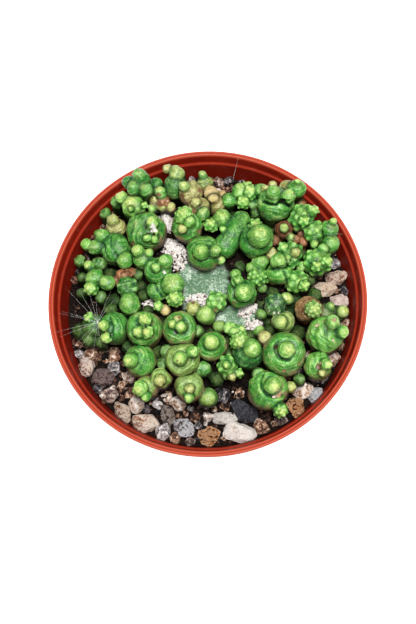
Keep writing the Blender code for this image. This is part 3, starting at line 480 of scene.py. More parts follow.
class Finish:
    """Builds a material's nodes with short calls. Sizes are in metres on the object."""

    def __init__(self, name):
        self.material = bpy.data.materials.new(name)
        self.material.use_nodes = True
        self.tree = self.material.node_tree
        self.shader = self.tree.nodes["Principled BSDF"]
        self.place = self.tree.nodes.new("ShaderNodeTexCoord").outputs["Object"]

    def node(self, kind, **settings):
        node = self.tree.nodes.new("ShaderNode" + kind)
        for name, value in settings.items():
            setattr(node, name, value)
        return node

    def feed(self, socket, value):
        """Links an output to a socket, or sets its number or colour."""
        if isinstance(value, bpy.types.NodeSocket):
            self.tree.links.new(value, socket)
        elif hasattr(value, "__len__") and len(value) == 3 and socket.type == "RGBA":
            socket.default_value = (*value, 1)
        else:
            socket.default_value = value

    def set(self, name, value):
        self.feed(self.shader.inputs[name], value)

    def mask(self, name):
        return self.node("Attribute", attribute_name=name).outputs["Fac"]

    def noise(self, size, detail=3, roughness=0.55, place=None):
        node = self.node("TexNoise")
        self.feed(node.inputs["Vector"], place or self.place)
        self.feed(node.inputs["Scale"], 1 / size)
        self.feed(node.inputs["Detail"], detail)
        self.feed(node.inputs["Roughness"], roughness)
        return node.outputs["Fac"]

    def cells(self, size, feature="F1"):
        node = self.node("TexVoronoi", feature=feature)
        self.feed(node.inputs["Vector"], self.place)
        self.feed(node.inputs["Scale"], 1 / size)
        return node.outputs["Distance"]

    def math(self, operation, *values):
        node = self.node("Math", operation=operation)
        for number, value in enumerate(values):
            self.feed(node.inputs[number], value)
        return node.outputs[0]

    def total(self, start, *terms):
        """A start plus each term's value times its weight."""
        for value, weight in terms:
            start = self.math("MULTIPLY_ADD", value, weight, start)
        return start

    def streaks(self, spread, pitch):
        """Noise drawn out along the rings round a growing point, from the distance to it in mm."""
        wander = self.math("MULTIPLY", self.noise(2.4 * MM, 2), 2.2)
        across = self.node("CombineXYZ")
        self.feed(across.inputs["X"], self.math("MULTIPLY_ADD", spread, 1 / pitch, wander))
        along = self.node("VectorMath", operation="SCALE")
        self.feed(along.inputs[0], self.place)
        self.feed(along.inputs["Scale"], 1 / (7 * MM))
        both = self.node("VectorMath", operation="ADD")
        self.feed(both.inputs[0], across.outputs[0])
        self.feed(both.inputs[1], along.outputs[0])
        return self.noise(1, 3, 0.6, both.outputs[0])

    def span(self, value, low, high, start=0.0, end=1.0):
        """Maps low to high onto start to end, held at both ends."""
        node = self.node("MapRange", interpolation_type="SMOOTHSTEP")
        for name, number in (("Value", value), ("From Min", low), ("From Max", high), ("To Min", start),
                             ("To Max", end)):
            self.feed(node.inputs[name], number)
        return node.outputs["Result"]

    def mix(self, share, first, second, blend="MIX"):
        node = self.node("Mix", data_type="RGBA", blend_type=blend)
        self.feed(node.inputs["Factor"], share)
        self.feed(node.inputs[6], first)
        self.feed(node.inputs[7], second)
        return node.outputs[2]

    def ramp(self, value, stops):
        node = self.node("ValToRGB")
        band = node.color_ramp
        while len(band.elements) < len(stops):
            band.elements.new(1)
        for element, (place, colour) in zip(band.elements, stops):
            element.position = place
            element.color = (*colour, 1)
        self.feed(node.inputs["Fac"], value)
        return node.outputs["Color"]

    def bump(self, height, depth, strength=1.0):
        """Raises the surface by height, from 0 to 1, times a depth in metres."""
        node = self.node("Bump")
        self.feed(node.inputs["Height"], height)
        self.feed(node.inputs["Distance"], depth)
        self.feed(node.inputs["Strength"], strength)
        self.set("Normal", node.outputs["Normal"])


# Pot


def inner_radius(z):
    """The pot's inside radius at a height, below its ledge."""
    share = (RIM - LEDGE_DEPTH - z) / (RIM - LEDGE_DEPTH - FLOOR_HEIGHT)
    top = RIM_RADIUS - COLLAR_STEP - WALL - WALL_GAP
    return top + share * (BASE_RADIUS - WALL - top)


def pressed_in(points):
    """The points, with those that would lie in the pot's wall pressed flat against it."""
    share = (inner_radius(points[:, 2]) - 0.05 * MM) / np.hypot(points[:, 0], points[:, 1])
    return points * np.column_stack([np.minimum(1, share), np.minimum(1, share), np.ones(len(points))])


def eased(corners, radius, steps=4):
    """The corners of a section with each one rounded, but for the first and the last."""
    path = [corners[0]]
    for before, here, after in zip(corners, corners[1:], corners[2:]):
        here = Vector(here)
        back = Vector(before) - here
        on = Vector(after) - here
        reach = min(radius, 0.45 * back.length, 0.45 * on.length)
        start = here + back.normalized() * reach
        end = here + on.normalized() * reach
        for step in range(steps + 1):
            share = step / steps
            path.append(tuple((1 - share) ** 2 * start + 2 * share * (1 - share) * here + share ** 2 * end))
    return path + [corners[-1]]


def pot_section():
    """The pot's section, from the middle of the underside, up the outside, and down to the floor."""
    body_top = RIM_RADIUS - COLLAR_STEP
    collar_foot = RIM - COLLAR_HEIGHT
    ledge = RIM - LEDGE_DEPTH
    lip = [
        (RIM_RADIUS, RIM - 0.8 * MM), (RIM_RADIUS - 0.2 * MM, RIM - 0.12 * MM),
        (RIM_RADIUS - 0.8 * MM, RIM), (RIM_RADIUS - 1.1 * MM, RIM - 0.3 * MM),
        (RIM_RADIUS - 1.4 * MM, RIM - 0.02 * MM), (RIM_RADIUS - 1.9 * MM, RIM - 0.2 * MM),
        (RIM_RADIUS - 2.3 * MM, RIM - 1.3 * MM),
    ]
    return [
        (0, FOOT_HEIGHT), (BASE_RADIUS - FOOT_WIDTH, FOOT_HEIGHT),
        (BASE_RADIUS - FOOT_WIDTH + 0.4 * MM, 0), (BASE_RADIUS - 0.8 * MM, 0), (BASE_RADIUS, 0.8 * MM),
        (body_top, collar_foot - 0.6 * MM), (RIM_RADIUS - 0.9 * MM, collar_foot), *lip,
        (inner_radius(ledge) + LEDGE_WIDTH, ledge + 0.7 * MM), (inner_radius(ledge), ledge),
        (inner_radius(FLOOR_HEIGHT + 2 * MM), FLOOR_HEIGHT + 2 * MM),
        (inner_radius(FLOOR_HEIGHT) - 2 * MM, FLOOR_HEIGHT), (0, FLOOR_HEIGHT),
    ]


def plastic(settings):
    """Moulded terracotta-coloured plastic, a little dusty, with painted light along the lip and ledge, painted shade
    in the lip's groove, and painted shade on the inner wall and floor.
    """
    finish = Finish("terracotta_plastic")
    cloud = finish.noise(9 * MM, 4)
    fine = finish.noise(0.6 * MM, 2)
    colour = finish.mix(finish.span(cloud, 0.3, 0.7), settings.colour, settings.colour_dark)
    # Painted shade on the inner wall and floor, from the inside mask
    colour = finish.mix(finish.mask("inside"), colour, settings.colour_inside_shade)
    # Painted light along the lip top, the ledge and the band above it; the outside is mostly this colour too
    colour = finish.mix(finish.mask("lip"), colour, settings.colour_outside_and_lip_light)
    # Painted shade in the lip's groove
    colour = finish.mix(finish.mask("groove_shade"), colour, settings.colour_dark)
    dust = finish.math("MULTIPLY", finish.span(finish.noise(2.5 * MM, 5), 0.56, 0.72), 0.05)
    finish.set("Base Color", finish.mix(dust, colour, (0.62, 0.34, 0.24)))
    finish.set("Roughness", finish.span(cloud, 0.2, 0.8, 0.36, 0.5))
    finish.set("Specular IOR Level", 0.08)
    finish.bump(fine, 0.03 * MM, 0.6)
    return finish.material


def drill_drains(pot):
    """Cuts the drain holes through the pot's floor."""
    for hole in range(DRAIN_HOLES):
        angle = math.radians(360 * hole / DRAIN_HOLES + DRAIN_TURN)
        bm = bmesh.new()
        bmesh.ops.create_cone(bm, cap_ends=True, segments=32, radius1=DRAIN_RADIUS, radius2=DRAIN_RADIUS,
                              depth=4 * FLOOR_HEIGHT)
        bmesh.ops.translate(bm, verts=bm.verts, vec=(DRAIN_RING * math.cos(angle), DRAIN_RING * math.sin(angle),
                                                     FLOOR_HEIGHT))
        mesh = bpy.data.meshes.new("drain")
        bm.to_mesh(mesh)
        bm.free()
        cutter = bpy.data.objects.new("drain_cutter", mesh)
        bpy.context.scene.collection.objects.link(cutter)
        cut = pot.modifiers.new("Drain", "BOOLEAN")
        cut.operation = "DIFFERENCE"
        cut.object = cutter
        apply_modifiers(pot)
        bpy.data.objects.remove(cutter)


def apply_modifiers(obj):
    graph = bpy.context.evaluated_depsgraph_get()
    mesh = bpy.data.meshes.new_from_object(obj.evaluated_get(graph))
    obj.modifiers.clear()
    obj.data = mesh


def build_pot(settings):
    mesh = turned_mesh("pot_shell", eased(pot_section(), 0.3 * MM), settings.segments)
    piece = add_piece("pot_shell", mesh, plastic(settings), ["pot"])
    drill_drains(piece)
    points = read_points(piece.data)
    radius = np.hypot(points[:, 0], points[:, 1])
    outside = radius > inner_radius(points[:, 2]) + 1.4 * MM
    # Painted light: a pale line along the ledge, a faint pale band above it and the paler top of the lip; the outside
    # takes 0.75 of the lip colour
    ledge = np.exp(-((points[:, 2] - RIM + LEDGE_DEPTH - 0.35 * MM) / (0.5 * MM)) ** 2)
    lip = smooth_step(RIM - 1.0 * MM, RIM - 0.2 * MM, points[:, 2])
    band = 0.06 * smooth_step(RIM - 5 * MM, RIM - 4.6 * MM, points[:, 2])
    write_mask(piece.data, "lip", np.maximum.reduce([np.where(outside, 0.75, 0.25 * ledge), lip, band]))
    # Painted shade: the inner wall and floor get the dark inside colour, stronger below the ledge
    inside = (radius < inner_radius(points[:, 2]) + 1.4 * MM) & (points[:, 2] < RIM - 1.2 * MM)
    wall = 0.4 + 0.4 * (points[:, 2] < RIM - LEDGE_DEPTH + 0.1 * MM)
    write_mask(piece.data, "inside", wall * inside)
    # Painted shade: a dark line along the groove in the lip
    away = (radius - RIM_RADIUS + 1.1 * MM) / (0.3 * MM)
    write_mask(piece.data, "groove_shade", 0.7 * np.exp(-away ** 2) * (points[:, 2] > RIM - 0.5 * MM))
    piece.data.shade_smooth()
    piece.data.set_sharp_from_angle(angle=math.radians(50))


# Soil, grit and old body


def mound_reach(points):
    """How far out a point is from the old body's middle, where 1 is its edge."""
    return np.hypot((points[:, 0] - MOUND_CENTRE[0]) / MOUND_RADII[0],
                    (points[:, 1] - MOUND_CENTRE[1]) / MOUND_RADII[1])


def soil_relief(points):
    """The loose soil's height at each point, without grains."""
    level = points * (1, 1, 0)
    return SOIL_LEVEL - 0.2 * MM + 0.5 * MM * layered_noise(level, 5 * MM, 3, 4)


def mound_height(points):
    """The old body's top: a shallow dome with soft swellings."""
    foot = SOIL_LEVEL + MOUND_LIP
    rise = np.clip(1 - mound_reach(points) ** 2, 0, None)
    level = points * (1, 1, 0)
    swell = 0.7 * MM * soft_noise(level, 9 * MM, 5) + 0.2 * MM * soft_noise(level, 2.5 * MM, 6)
    return foot + (MOUND_TOP - foot) * rise + swell * np.minimum(1, 3 * rise)


def support_height(points):
    """What a head rests on: the old body and a narrow strip round it, or else the soil."""
    return np.where(mound_reach(points) < MOUND_STRIP, mound_height(points), soil_relief(points))


def disc_mesh(name, centre, radii, rings, segments, height, foot):
    """A closed disc with its top raised by a function, over a flat underside."""
    shares = np.linspace(0, 1, rings + 1)[1:]
    angles = 2 * np.pi * np.arange(segments) / segments
    top = np.concatenate([np.column_stack([centre[0] + radii[0] * s * np.cos(angles),
                                           centre[1] + radii[1] * s * np.sin(angles),
                                           np.zeros(segments)]) for s in shares])
    edge = top[-segments:].copy()
    top[:, 2] = height(top)
    edge[:, 2] = foot
    middle = np.array([(*centre, 0.0)])
    middle[:, 2] = height(middle)
    points = np.concatenate([top, edge, middle, [(*centre, foot)]])
    step = np.arange(segments)
    after = (step + 1) % segments
    faces = []
    for ring in range(rings):
        low, high = ring * segments, (ring + 1) * segments
        faces.append(np.column_stack([low + step, high + step, high + after]))
        faces.append(np.column_stack([low + step, high + after, low + after]))
    crown, base = len(points) - 2, len(points) - 1
    faces.append(np.column_stack([np.full(segments, crown), step, after]))
    last = rings * segments
    faces.append(np.column_stack([np.full(segments, base), last + after, last + step]))
    return mesh_from(name, points, np.concatenate(faces))


def earth(settings):
    """Moist dark potting soil."""
    finish = Finish("potting_soil")
    grain = finish.noise(0.9 * MM, 5, 0.7)
    colour = finish.ramp(grain, ((0.3, (0.004, 0.003, 0.002)), (0.5, settings.soil_colour),
                                 (0.66, (0.026, 0.014, 0.009)), (0.8, (0.13, 0.08, 0.05))))
    finish.set("Base Color", colour)
    finish.set("Roughness", 0.9)
    finish.set("Specular IOR Level", 0.1)
    finish.bump(grain, 0.6 * MM)
    return finish.material


def grain_finish(name, stops, roughness, lift=0.0, mottle=2.1):
    """Grains that each have one tone, with a fine mottle, larger stains, painted shade in hollows and painted light
    on edges.
    """
    finish = Finish(name)
    start = lift - 0.45 - 0.5 * mottle
    tone = finish.total(start, (finish.mask("tone"), 1), (finish.noise(1.0 * MM, 4, 0.8), mottle),
                        (finish.noise(2.8 * MM, 3, 0.6), 0.9), (finish.mask("hollow_shading"), -0.9))
    grey = finish.span(finish.mask("hue"), 0.58, 0.85, 0.0, 0.85)
    finish.set("Base Color", finish.mix(grey, finish.ramp(tone, stops), finish.ramp(tone, GREY_STOPS)))
    finish.set("Roughness", roughness)
    finish.set("Specular IOR Level", 0.2)
    finish.bump(finish.noise(0.6 * MM, 4, 0.7), 0.35 * MM)
    return finish.material


EARTH_STOPS = ((0.0, (0.003, 0.002, 0.002)), (0.14, (0.015, 0.009, 0.007)), (0.30, (0.070, 0.034, 0.026)),
               (0.46, (0.23, 0.100, 0.052)), (0.62, (0.52, 0.34, 0.22)), (0.85, (0.87, 0.78, 0.69)))
GREY_STOPS = ((0.0, (0.002, 0.002, 0.003)), (0.14, (0.010, 0.011, 0.013)), (0.30, (0.060, 0.060, 0.068)),
              (0.46, (0.17, 0.165, 0.175)), (0.62, (0.43, 0.41, 0.41)), (0.85, (0.84, 0.83, 0.83)))


def scattered_balls(rng, centres, sizes, shapes, fineness, dents):
    """Dented balls at the centres, each with its own size, three half widths and turn, as one mesh's arrays."""
    directions, faces = ball_template(fineness)
    count = len(centres)
    turns = rng.normal(size=(count, 4))
    turns /= np.linalg.norm(turns, axis=1)[:, None]
    w, x, y, z = turns.T
    matrix = np.empty((count, 3, 3))
    matrix[:, 0] = np.column_stack([1 - 2 * (y * y + z * z), 2 * (x * y - z * w), 2 * (x * z + y * w)])
    matrix[:, 1] = np.column_stack([2 * (x * y + z * w), 1 - 2 * (x * x + z * z), 2 * (y * z - x * w)])
    matrix[:, 2] = np.column_stack([2 * (x * z - y * w), 2 * (y * z + x * w), 1 - 2 * (x * x + y * y)])
    dent = 1 + dents * rng.uniform(-1, 1, (count, len(directions)))
    points = directions[None] * dent[:, :, None] * (sizes[:, None] * shapes)[:, None, :]
    points = np.einsum("nij,nkj->nki", matrix, points) + centres[:, None, :]
    all_faces = faces[None] + (np.arange(count) * len(directions))[:, None, None]
    return points.reshape(-1, 3), all_faces.reshape(-1, 3), len(directions)


def open_spots(rng, count):
    """Random places on the soil that the old body doesn't cover."""
    edge = inner_radius(SOIL_LEVEL) - 1.2 * MM
    radius = edge * np.sqrt(rng.uniform(0, 1, 4 * count))
    angle = rng.uniform(0, 2 * np.pi, 4 * count)
    spots = np.column_stack([radius * np.cos(angle), radius * np.sin(angle), np.zeros(4 * count)])
    return spots[mound_reach(spots) > 0.9][:count]


def build_soil(settings):
    edge = inner_radius(SOIL_LEVEL) - WALL_GAP
    mesh = disc_mesh("soil_bed", (0, 0), (edge, edge), 80, 180, soil_relief, SOIL_LEVEL - 4 * MM)
    add_piece("soil_bed", mesh, earth(settings), ["soil"])


def build_grit(settings):
    """Loose grains and bark chips that lie on the soil."""
    rng = np.random.default_rng(settings.seed)
    material = grain_finish("soil_grains", EARTH_STOPS, 0.8, -0.18)
    kinds = (("fine_grit", settings.grains, (0.3, 0.8), (1, 0.85, 0.75), 1, 0.25),
             ("coarse_grit", settings.grains // 4, (0.7, 1.5), (1, 0.8, 0.65), 1, 0.2),
             ("bark_chips", settings.grains // 6, (1.0, 2.4), (1, 0.4, 0.22), 2, 0.2))
    for name, count, (small, large), shape, fineness, dents in kinds:
        spots = open_spots(rng, count)
        if name == "coarse_grit":
            litter = rng.uniform(-1, 1, (settings.litter, 3)) * (*MOUND_RADII, 0) + (*MOUND_CENTRE, 0)
            spots = np.concatenate([spots, litter[(mound_reach(litter) < 0.95) & (frost_share(litter) < 0.2)]])
        sizes = rng.uniform(small, large, len(spots)) * MM
        shapes = np.array(shape) * rng.uniform(0.8, 1.2, (len(spots), 3))
        spots[:, 2] = support_height(spots) + 0.25 * sizes
        points, faces, each = scattered_balls(rng, spots, sizes, shapes, fineness, dents)
        mesh = mesh_from(name, pressed_in(points), faces)
        tones = np.clip(rng.gamma(1.4, 0.13, len(spots)), 0, 0.9)
        write_mask(mesh, "tone", np.repeat(tones, each))
        add_piece(name, mesh, material)


def frosted_skin(settings):
    """Old grey-green skin under white scurf, and painted shade, near-black with lighter specks, where the heads
    stand.
    """
    finish = Finish("frosted_skin")
    cloud = finish.noise(5 * MM, 4)
    fleck = finish.noise(0.9 * MM, 5, 0.85)
    colour = finish.mix(finish.span(cloud, 0.35, 0.65), settings.frost_dark, settings.frost_light)
    pale = finish.span(finish.total(0, (fleck, 0.8), (cloud, 0.3)), 0.55, 0.64)
    colour = finish.mix(pale, colour, (0.60, 0.70, 0.58))
    colour = finish.mix(finish.span(fleck, 0.49, 0.40, 0.0, 0.85), colour, (0.04, 0.12, 0.055))
    # Painted shade under the heads: near-black with lighter specks
    gap_shade = finish.mix(finish.span(fleck, 0.45, 0.7), settings.gap_shade_colour, settings.gap_shade_specks)
    frost = finish.mask("frost")
    finish.set("Base Color", finish.mix(frost, gap_shade, colour))
    finish.set("Roughness", 0.55)
    finish.set("Specular IOR Level", finish.span(frost, 0, 1, 0.05, 0.5))
    finish.bump(fleck, 0.35 * MM)
    return finish.material


def frost_share(points):
    """1 where frosted skin shows, and 0 where painted shade lies under the heads."""
    share = np.zeros(len(points))
    for x, y, wide, deep in FROSTED_PLACES:
        away = np.hypot((points[:, 0] - x * MM) / wide, (points[:, 1] - y * MM) / deep) / MM
        share = np.maximum(share, 1 - smooth_step(0.85, 1.15, away + 0.15 * soft_noise(points, 2 * MM, 21)))
    return share


def build_old_body(settings):
    mesh = disc_mesh("old_body_skin", MOUND_CENTRE, MOUND_RADII, 90, 180, mound_height, SOIL_LEVEL - 2 * MM)
    write_mask(mesh, "frost", frost_share(read_points(mesh)))
    add_piece("old_body_skin", mesh, frosted_skin(settings), ["old_body"])


def build_crusts(settings):
    """White granular crusts that lie in patches on the old body."""
    rng = np.random.default_rng(settings.seed + 1)
    centres = []
    for x, y, wide, deep, high, turn in CRUSTS:
        count = int(22 * wide * deep)
        spread = rng.normal(size=(count, 2)) * 0.5
        spread = spread[np.hypot(*spread.T) < 1.15]
        rise = np.clip(1 - (spread ** 2).sum(axis=1), 0, None) * high
        angle = math.radians(turn)
        across = np.array(((math.cos(angle), math.sin(angle)), (-math.sin(angle), math.cos(angle))))
        centres.append(np.column_stack([spread * (wide, deep) @ across + (x, y), rise]))
    centres = np.concatenate(centres) * MM
    sizes = rng.uniform(0.3, 0.8, len(centres)) * MM
    centres[:, 2] += mound_height(centres) + rng.uniform(-0.3, 0.5, len(centres)) * MM
    shapes = rng.uniform(0.7, 1.2, (len(centres), 3))
    points, faces, each = scattered_balls(rng, centres, sizes, shapes, 1, 0.22)
    mesh = mesh_from("white_crusts", points, faces)
    tones = np.where(rng.uniform(size=len(centres)) < 0.07, 0.35, rng.uniform(0.75, 1.1, len(centres)))
    write_mask(mesh, "tone", np.repeat(tones, each))
    write_mask(mesh, "hue", np.full(len(points), 0.72))
    add_piece("white_crusts", mesh, grain_finish("white_crust", EARTH_STOPS, 0.75))


# Heads


class Ball:
    """One rounded lump of flesh: a body that stands on the old body, or a knob that grows on a body."""

    def __init__(self, centre, radius, look, stem=None):
        self.centre = np.array(centre, float)
        self.radius = radius
        self.look = LOOKS[look]
        self.is_body = stem is not None
        self.crown = CROWN_FLATNESS if self.is_body else 1.0
        self.stem = (stem or radius) / radius
        self.dimple = None
        self.lump = id(self)
        self.hubs = []
        lean = np.array([self.centre[0] - MOUND_CENTRE[0], self.centre[1] - MOUND_CENTRE[1], 0.0])
        tip = lean * 0.35 / (40 * MM) + (0, -0.05, 1)
        self.tip = tip / np.linalg.norm(tip)

    def sink(self, points):
        """How deep the dimple is at each point."""
        if not self.dimple:
            return np.zeros(len(points))
        x, y, depth = self.dimple
        away = np.hypot(points[:, 0] - x, points[:, 1] - y) / (DIMPLE_WIDTH * self.radius)
        return depth * (1 - smooth_step(0.35, 1.05, away)) * (points[:, 2] > self.centre[2])

    def surface(self, directions):
        points = directions * self.radius
        points[:, 2] *= np.where(points[:, 2] > 0, self.crown, self.stem)
        points += self.centre
        points[:, 2] -= self.sink(points)
        return points

    def unstretched(self, points):
        out = points - self.centre
        out[:, 2] /= np.where(out[:, 2] > 0, self.crown, self.stem)
        return out

    def reach(self, points):
        """How far outside the ball each point is."""
        return np.linalg.norm(self.unstretched(points), axis=1) - self.radius + self.sink(points)

    def turn(self, points):
        """The angle of each point from the ball's tip."""
        out = self.unstretched(points)
        out /= np.linalg.norm(out, axis=1)[:, None] + 1e-9
        return np.arccos(np.clip(out @ self.tip, -1, 1)), out


def standing_body(x, y, z, radius, look):
    """A body on its stem, from a row of the tables."""
    centre = np.array([x, y, z + RIM / MM]) * MM
    ground = support_height(centre[None])[0]
    return Ball(centre, radius * MM, look, max(0.7 * radius * MM, centre[2] - ground + STEM_SINK))


def read_heads():
    """Every head's balls, with the knobs placed on the bodies that carry them."""
    heads = {}
    for name, (_, depth, bodies, knobs) in HEADS.items():
        balls = [standing_body(*row) for row in bodies]
        if depth:
            balls[0].dimple = (knobs[0][0] * MM, knobs[0][1] * MM, depth * MM)
        for x, y, radius, look in knobs:
            spot = np.array([x, y]) * MM
            body = min(balls[:len(bodies)], key=lambda ball: np.hypot(*(ball.centre[:2] - spot)) - ball.radius)
            aside = np.hypot(*(body.centre[:2] - spot))
            reach = body.radius + KNOB_LIFT * radius * MM
            rise = math.sqrt(max(0, reach * reach - aside * aside)) * CROWN_FLATNESS
            near = max(0, 1 - (aside / (DIMPLE_WIDTH * body.radius)) ** 2)
            knob = Ball((*spot, body.centre[2] + rise - 0.8 * depth * MM * near), radius * MM, look)
            body.hubs.append((knob.centre, knob.radius))
            balls.append(knob)
        for first, second in BRIDGES.get(name, ()):
            balls[second].lump = balls[first].lump
            for share in (0.2, 0.4, 0.6, 0.8):
                row = [a + (b - a) * share for a, b in zip(bodies[first][:4], bodies[second][:4])]
                balls.append(standing_body(*row, bodies[first][4]))
                balls[-1].lump = balls[first].lump
        heads[name] = balls
    return heads


def low_buds(heads, seed):
    """Low buds from the table, and more that close the widest gaps left between the heads."""
    buds = [standing_body(*row) for row in LOW_BUDS]
    taken = [ball for group in heads.values() for ball in group] + buds
    rng = np.random.default_rng(seed)
    spots = np.append(rng.uniform(-1, 1, (9000, 2)) * MOUND_RADII + MOUND_CENTRE, np.zeros((9000, 1)), axis=1)
    spots = spots[(mound_reach(spots) < 0.88) & (frost_share(spots) < 0.3)]
    for x, y, wide, deep, *_ in (*CRUSTS, *(row for row, *_ in STONES.values())):
        away = np.hypot((spots[:, 0] - x * MM) / (wide + 1), (spots[:, 1] - y * MM) / (deep + 1)) / MM
        spots = spots[away > 1]
    gap = np.min([np.hypot(*(spots[:, :2] - ball.centre[:2]).T) - ball.radius for ball in taken], axis=0)
    while gap.max() > 1.0 * MM:
        number = gap.argmax()
        radius = min(gap[number] + 1.0 * MM, BUD_RADIUS) / MM
        height = rng.uniform(-6, -4)
        buds.append(standing_body(*spots[number, :2] / MM, height, radius, rng.choice(BUD_LOOKS)))
        gap = np.minimum(gap, np.hypot(*(spots[:, :2] - spots[number, :2]).T) - radius * MM)
    return buds


def spread_from(ball, points):
    """How far each point is from the ball's growing points."""
    hubs = ball.hubs or [(ball.centre + ball.tip * ball.radius, 0.0)]
    blur = 0.9 * MM
    away = [np.clip(np.linalg.norm(points - centre, axis=1) - radius, 0, None) for centre, radius in hubs]
    return -blur * np.log(sum(np.exp(-a / blur) for a in away))


def ripples(ball, points, spread, settings):
    """Uneven rings of skin that run round the growing points, from -1 to 1."""
    pitch = settings.ring_pitch * (1 if ball.is_body else 0.62)
    wander = 0.45 * soft_noise(points, 3.5 * MM, 11) + 0.2 * soft_noise(points, 1.3 * MM, 12)
    fade = np.clip(0.45 + 0.8 * soft_noise(points, 3.2 * MM, 13), 0, 1)
    return np.cos(2 * np.pi * (spread / pitch + wander)) * fade


def tubercles(ball, out):
    """Pointed lumps set in a spiral round the tip, from 0 between them to 1 at their points."""
    spacing = (2.8 if ball.is_body and ball.radius > 3.4 * MM else 1.8) * MM / ball.radius
    count = max(10, int(4 * math.pi / spacing ** 2))
    order = np.arange(count) + 0.5
    height = 1 - 2 * order / count
    angle = order * math.pi * (3 - math.sqrt(5))
    flat = np.sqrt(1 - height ** 2)
    side = np.cross(ball.tip, (0.3, 1, 0.1))
    side /= np.linalg.norm(side)
    axes = np.array([side, np.cross(ball.tip, side), ball.tip])
    lattice = np.column_stack([flat * np.cos(angle), flat * np.sin(angle), height]) @ axes
    lattice += 0.16 * spacing * soft_noise(lattice.repeat(3, axis=0), 0.01, 61).reshape(-1, 3)
    lattice /= np.linalg.norm(lattice, axis=1)[:, None]
    closest = out @ lattice.T
    size = 1 + 0.35 * soft_noise(lattice[closest.argmax(axis=1)], 0.3, 62)
    nearest = np.arccos(np.clip(closest.max(axis=1), -1, 1))
    return size * smooth_step(0, 1, 1 - nearest / (0.68 * spacing))


def distance_to_line(points, line):
    """How far each point is from a line of places in mm, seen from above."""
    best = np.full(len(points), np.inf)
    places = np.array(line) * MM
    for start, end in zip(places, places[1:]):
        along = end - start
        share = np.clip((points[:, :2] - start) @ along / (along @ along), 0, 1)
        best = np.minimum(best, np.hypot(*(points[:, :2] - start - share[:, None] * along).T))
    return best


def fused(name, balls, voxel):
    """One smooth mesh from a group of balls."""
    directions, faces = ball_template(4)
    points = np.concatenate([ball.surface(directions) for ball in balls])
    points[:, 2] = np.maximum(points[:, 2], support_height(points) - 1.2 * MM)
    all_faces = np.concatenate([faces + number * len(directions) for number in range(len(balls))])
    shell = bpy.data.objects.new(name, mesh_from(name, points, all_faces))
    bpy.context.scene.collection.objects.link(shell)
    remesh = shell.modifiers.new("Fuse", "REMESH")
    remesh.mode = "VOXEL"
    remesh.voxel_size = voxel
    smooth = shell.modifiers.new("Soften", "SMOOTH")
    smooth.factor = 0.5
    smooth.iterations = 3
    apply_modifiers(shell)
    mesh = shell.data
    bpy.data.objects.remove(shell)
    mesh.name = name
    return mesh


def carve(name, points, top):
    """The depth of a head's creases at each point, and how far each point lies in one, which the skin darkens as
    painted shade.
    """
    depth = np.zeros(len(points))
    inside = np.zeros(len(points))
    for deep, half, line in CREASES.get(name, ()):
        away = distance_to_line(points, line) + 0.15 * MM * soft_noise(points, 1.5 * MM, 31)
        share = np.exp(-(away / (half * MM)) ** 2) * top
        depth = np.maximum(depth, deep * MM * share)
        inside = np.maximum(inside, share * min(1, 0.7 * deep))
    return depth, inside


def mark_scars(name, mesh, points, top):
    """Stores where the head is scarred, and the tone of each scar."""
    share = np.zeros(len(points))
    tone = np.zeros(len(points))
    for x, y, radius, value in SCARS.get(name, ()):
        away = np.hypot(points[:, 0] - x * MM, points[:, 1] - y * MM) / (radius * MM)
        away += 0.35 * soft_noise(points, 0.9 * MM, 41)
        inside = (1 - smooth_step(0.75, 1.15, away)) * top
        tone = np.where(inside > share, value, tone)
        share = np.maximum(share, inside)
    write_mask(mesh, "scar", share)
    write_mask(mesh, "scar_tone", tone)
    return share


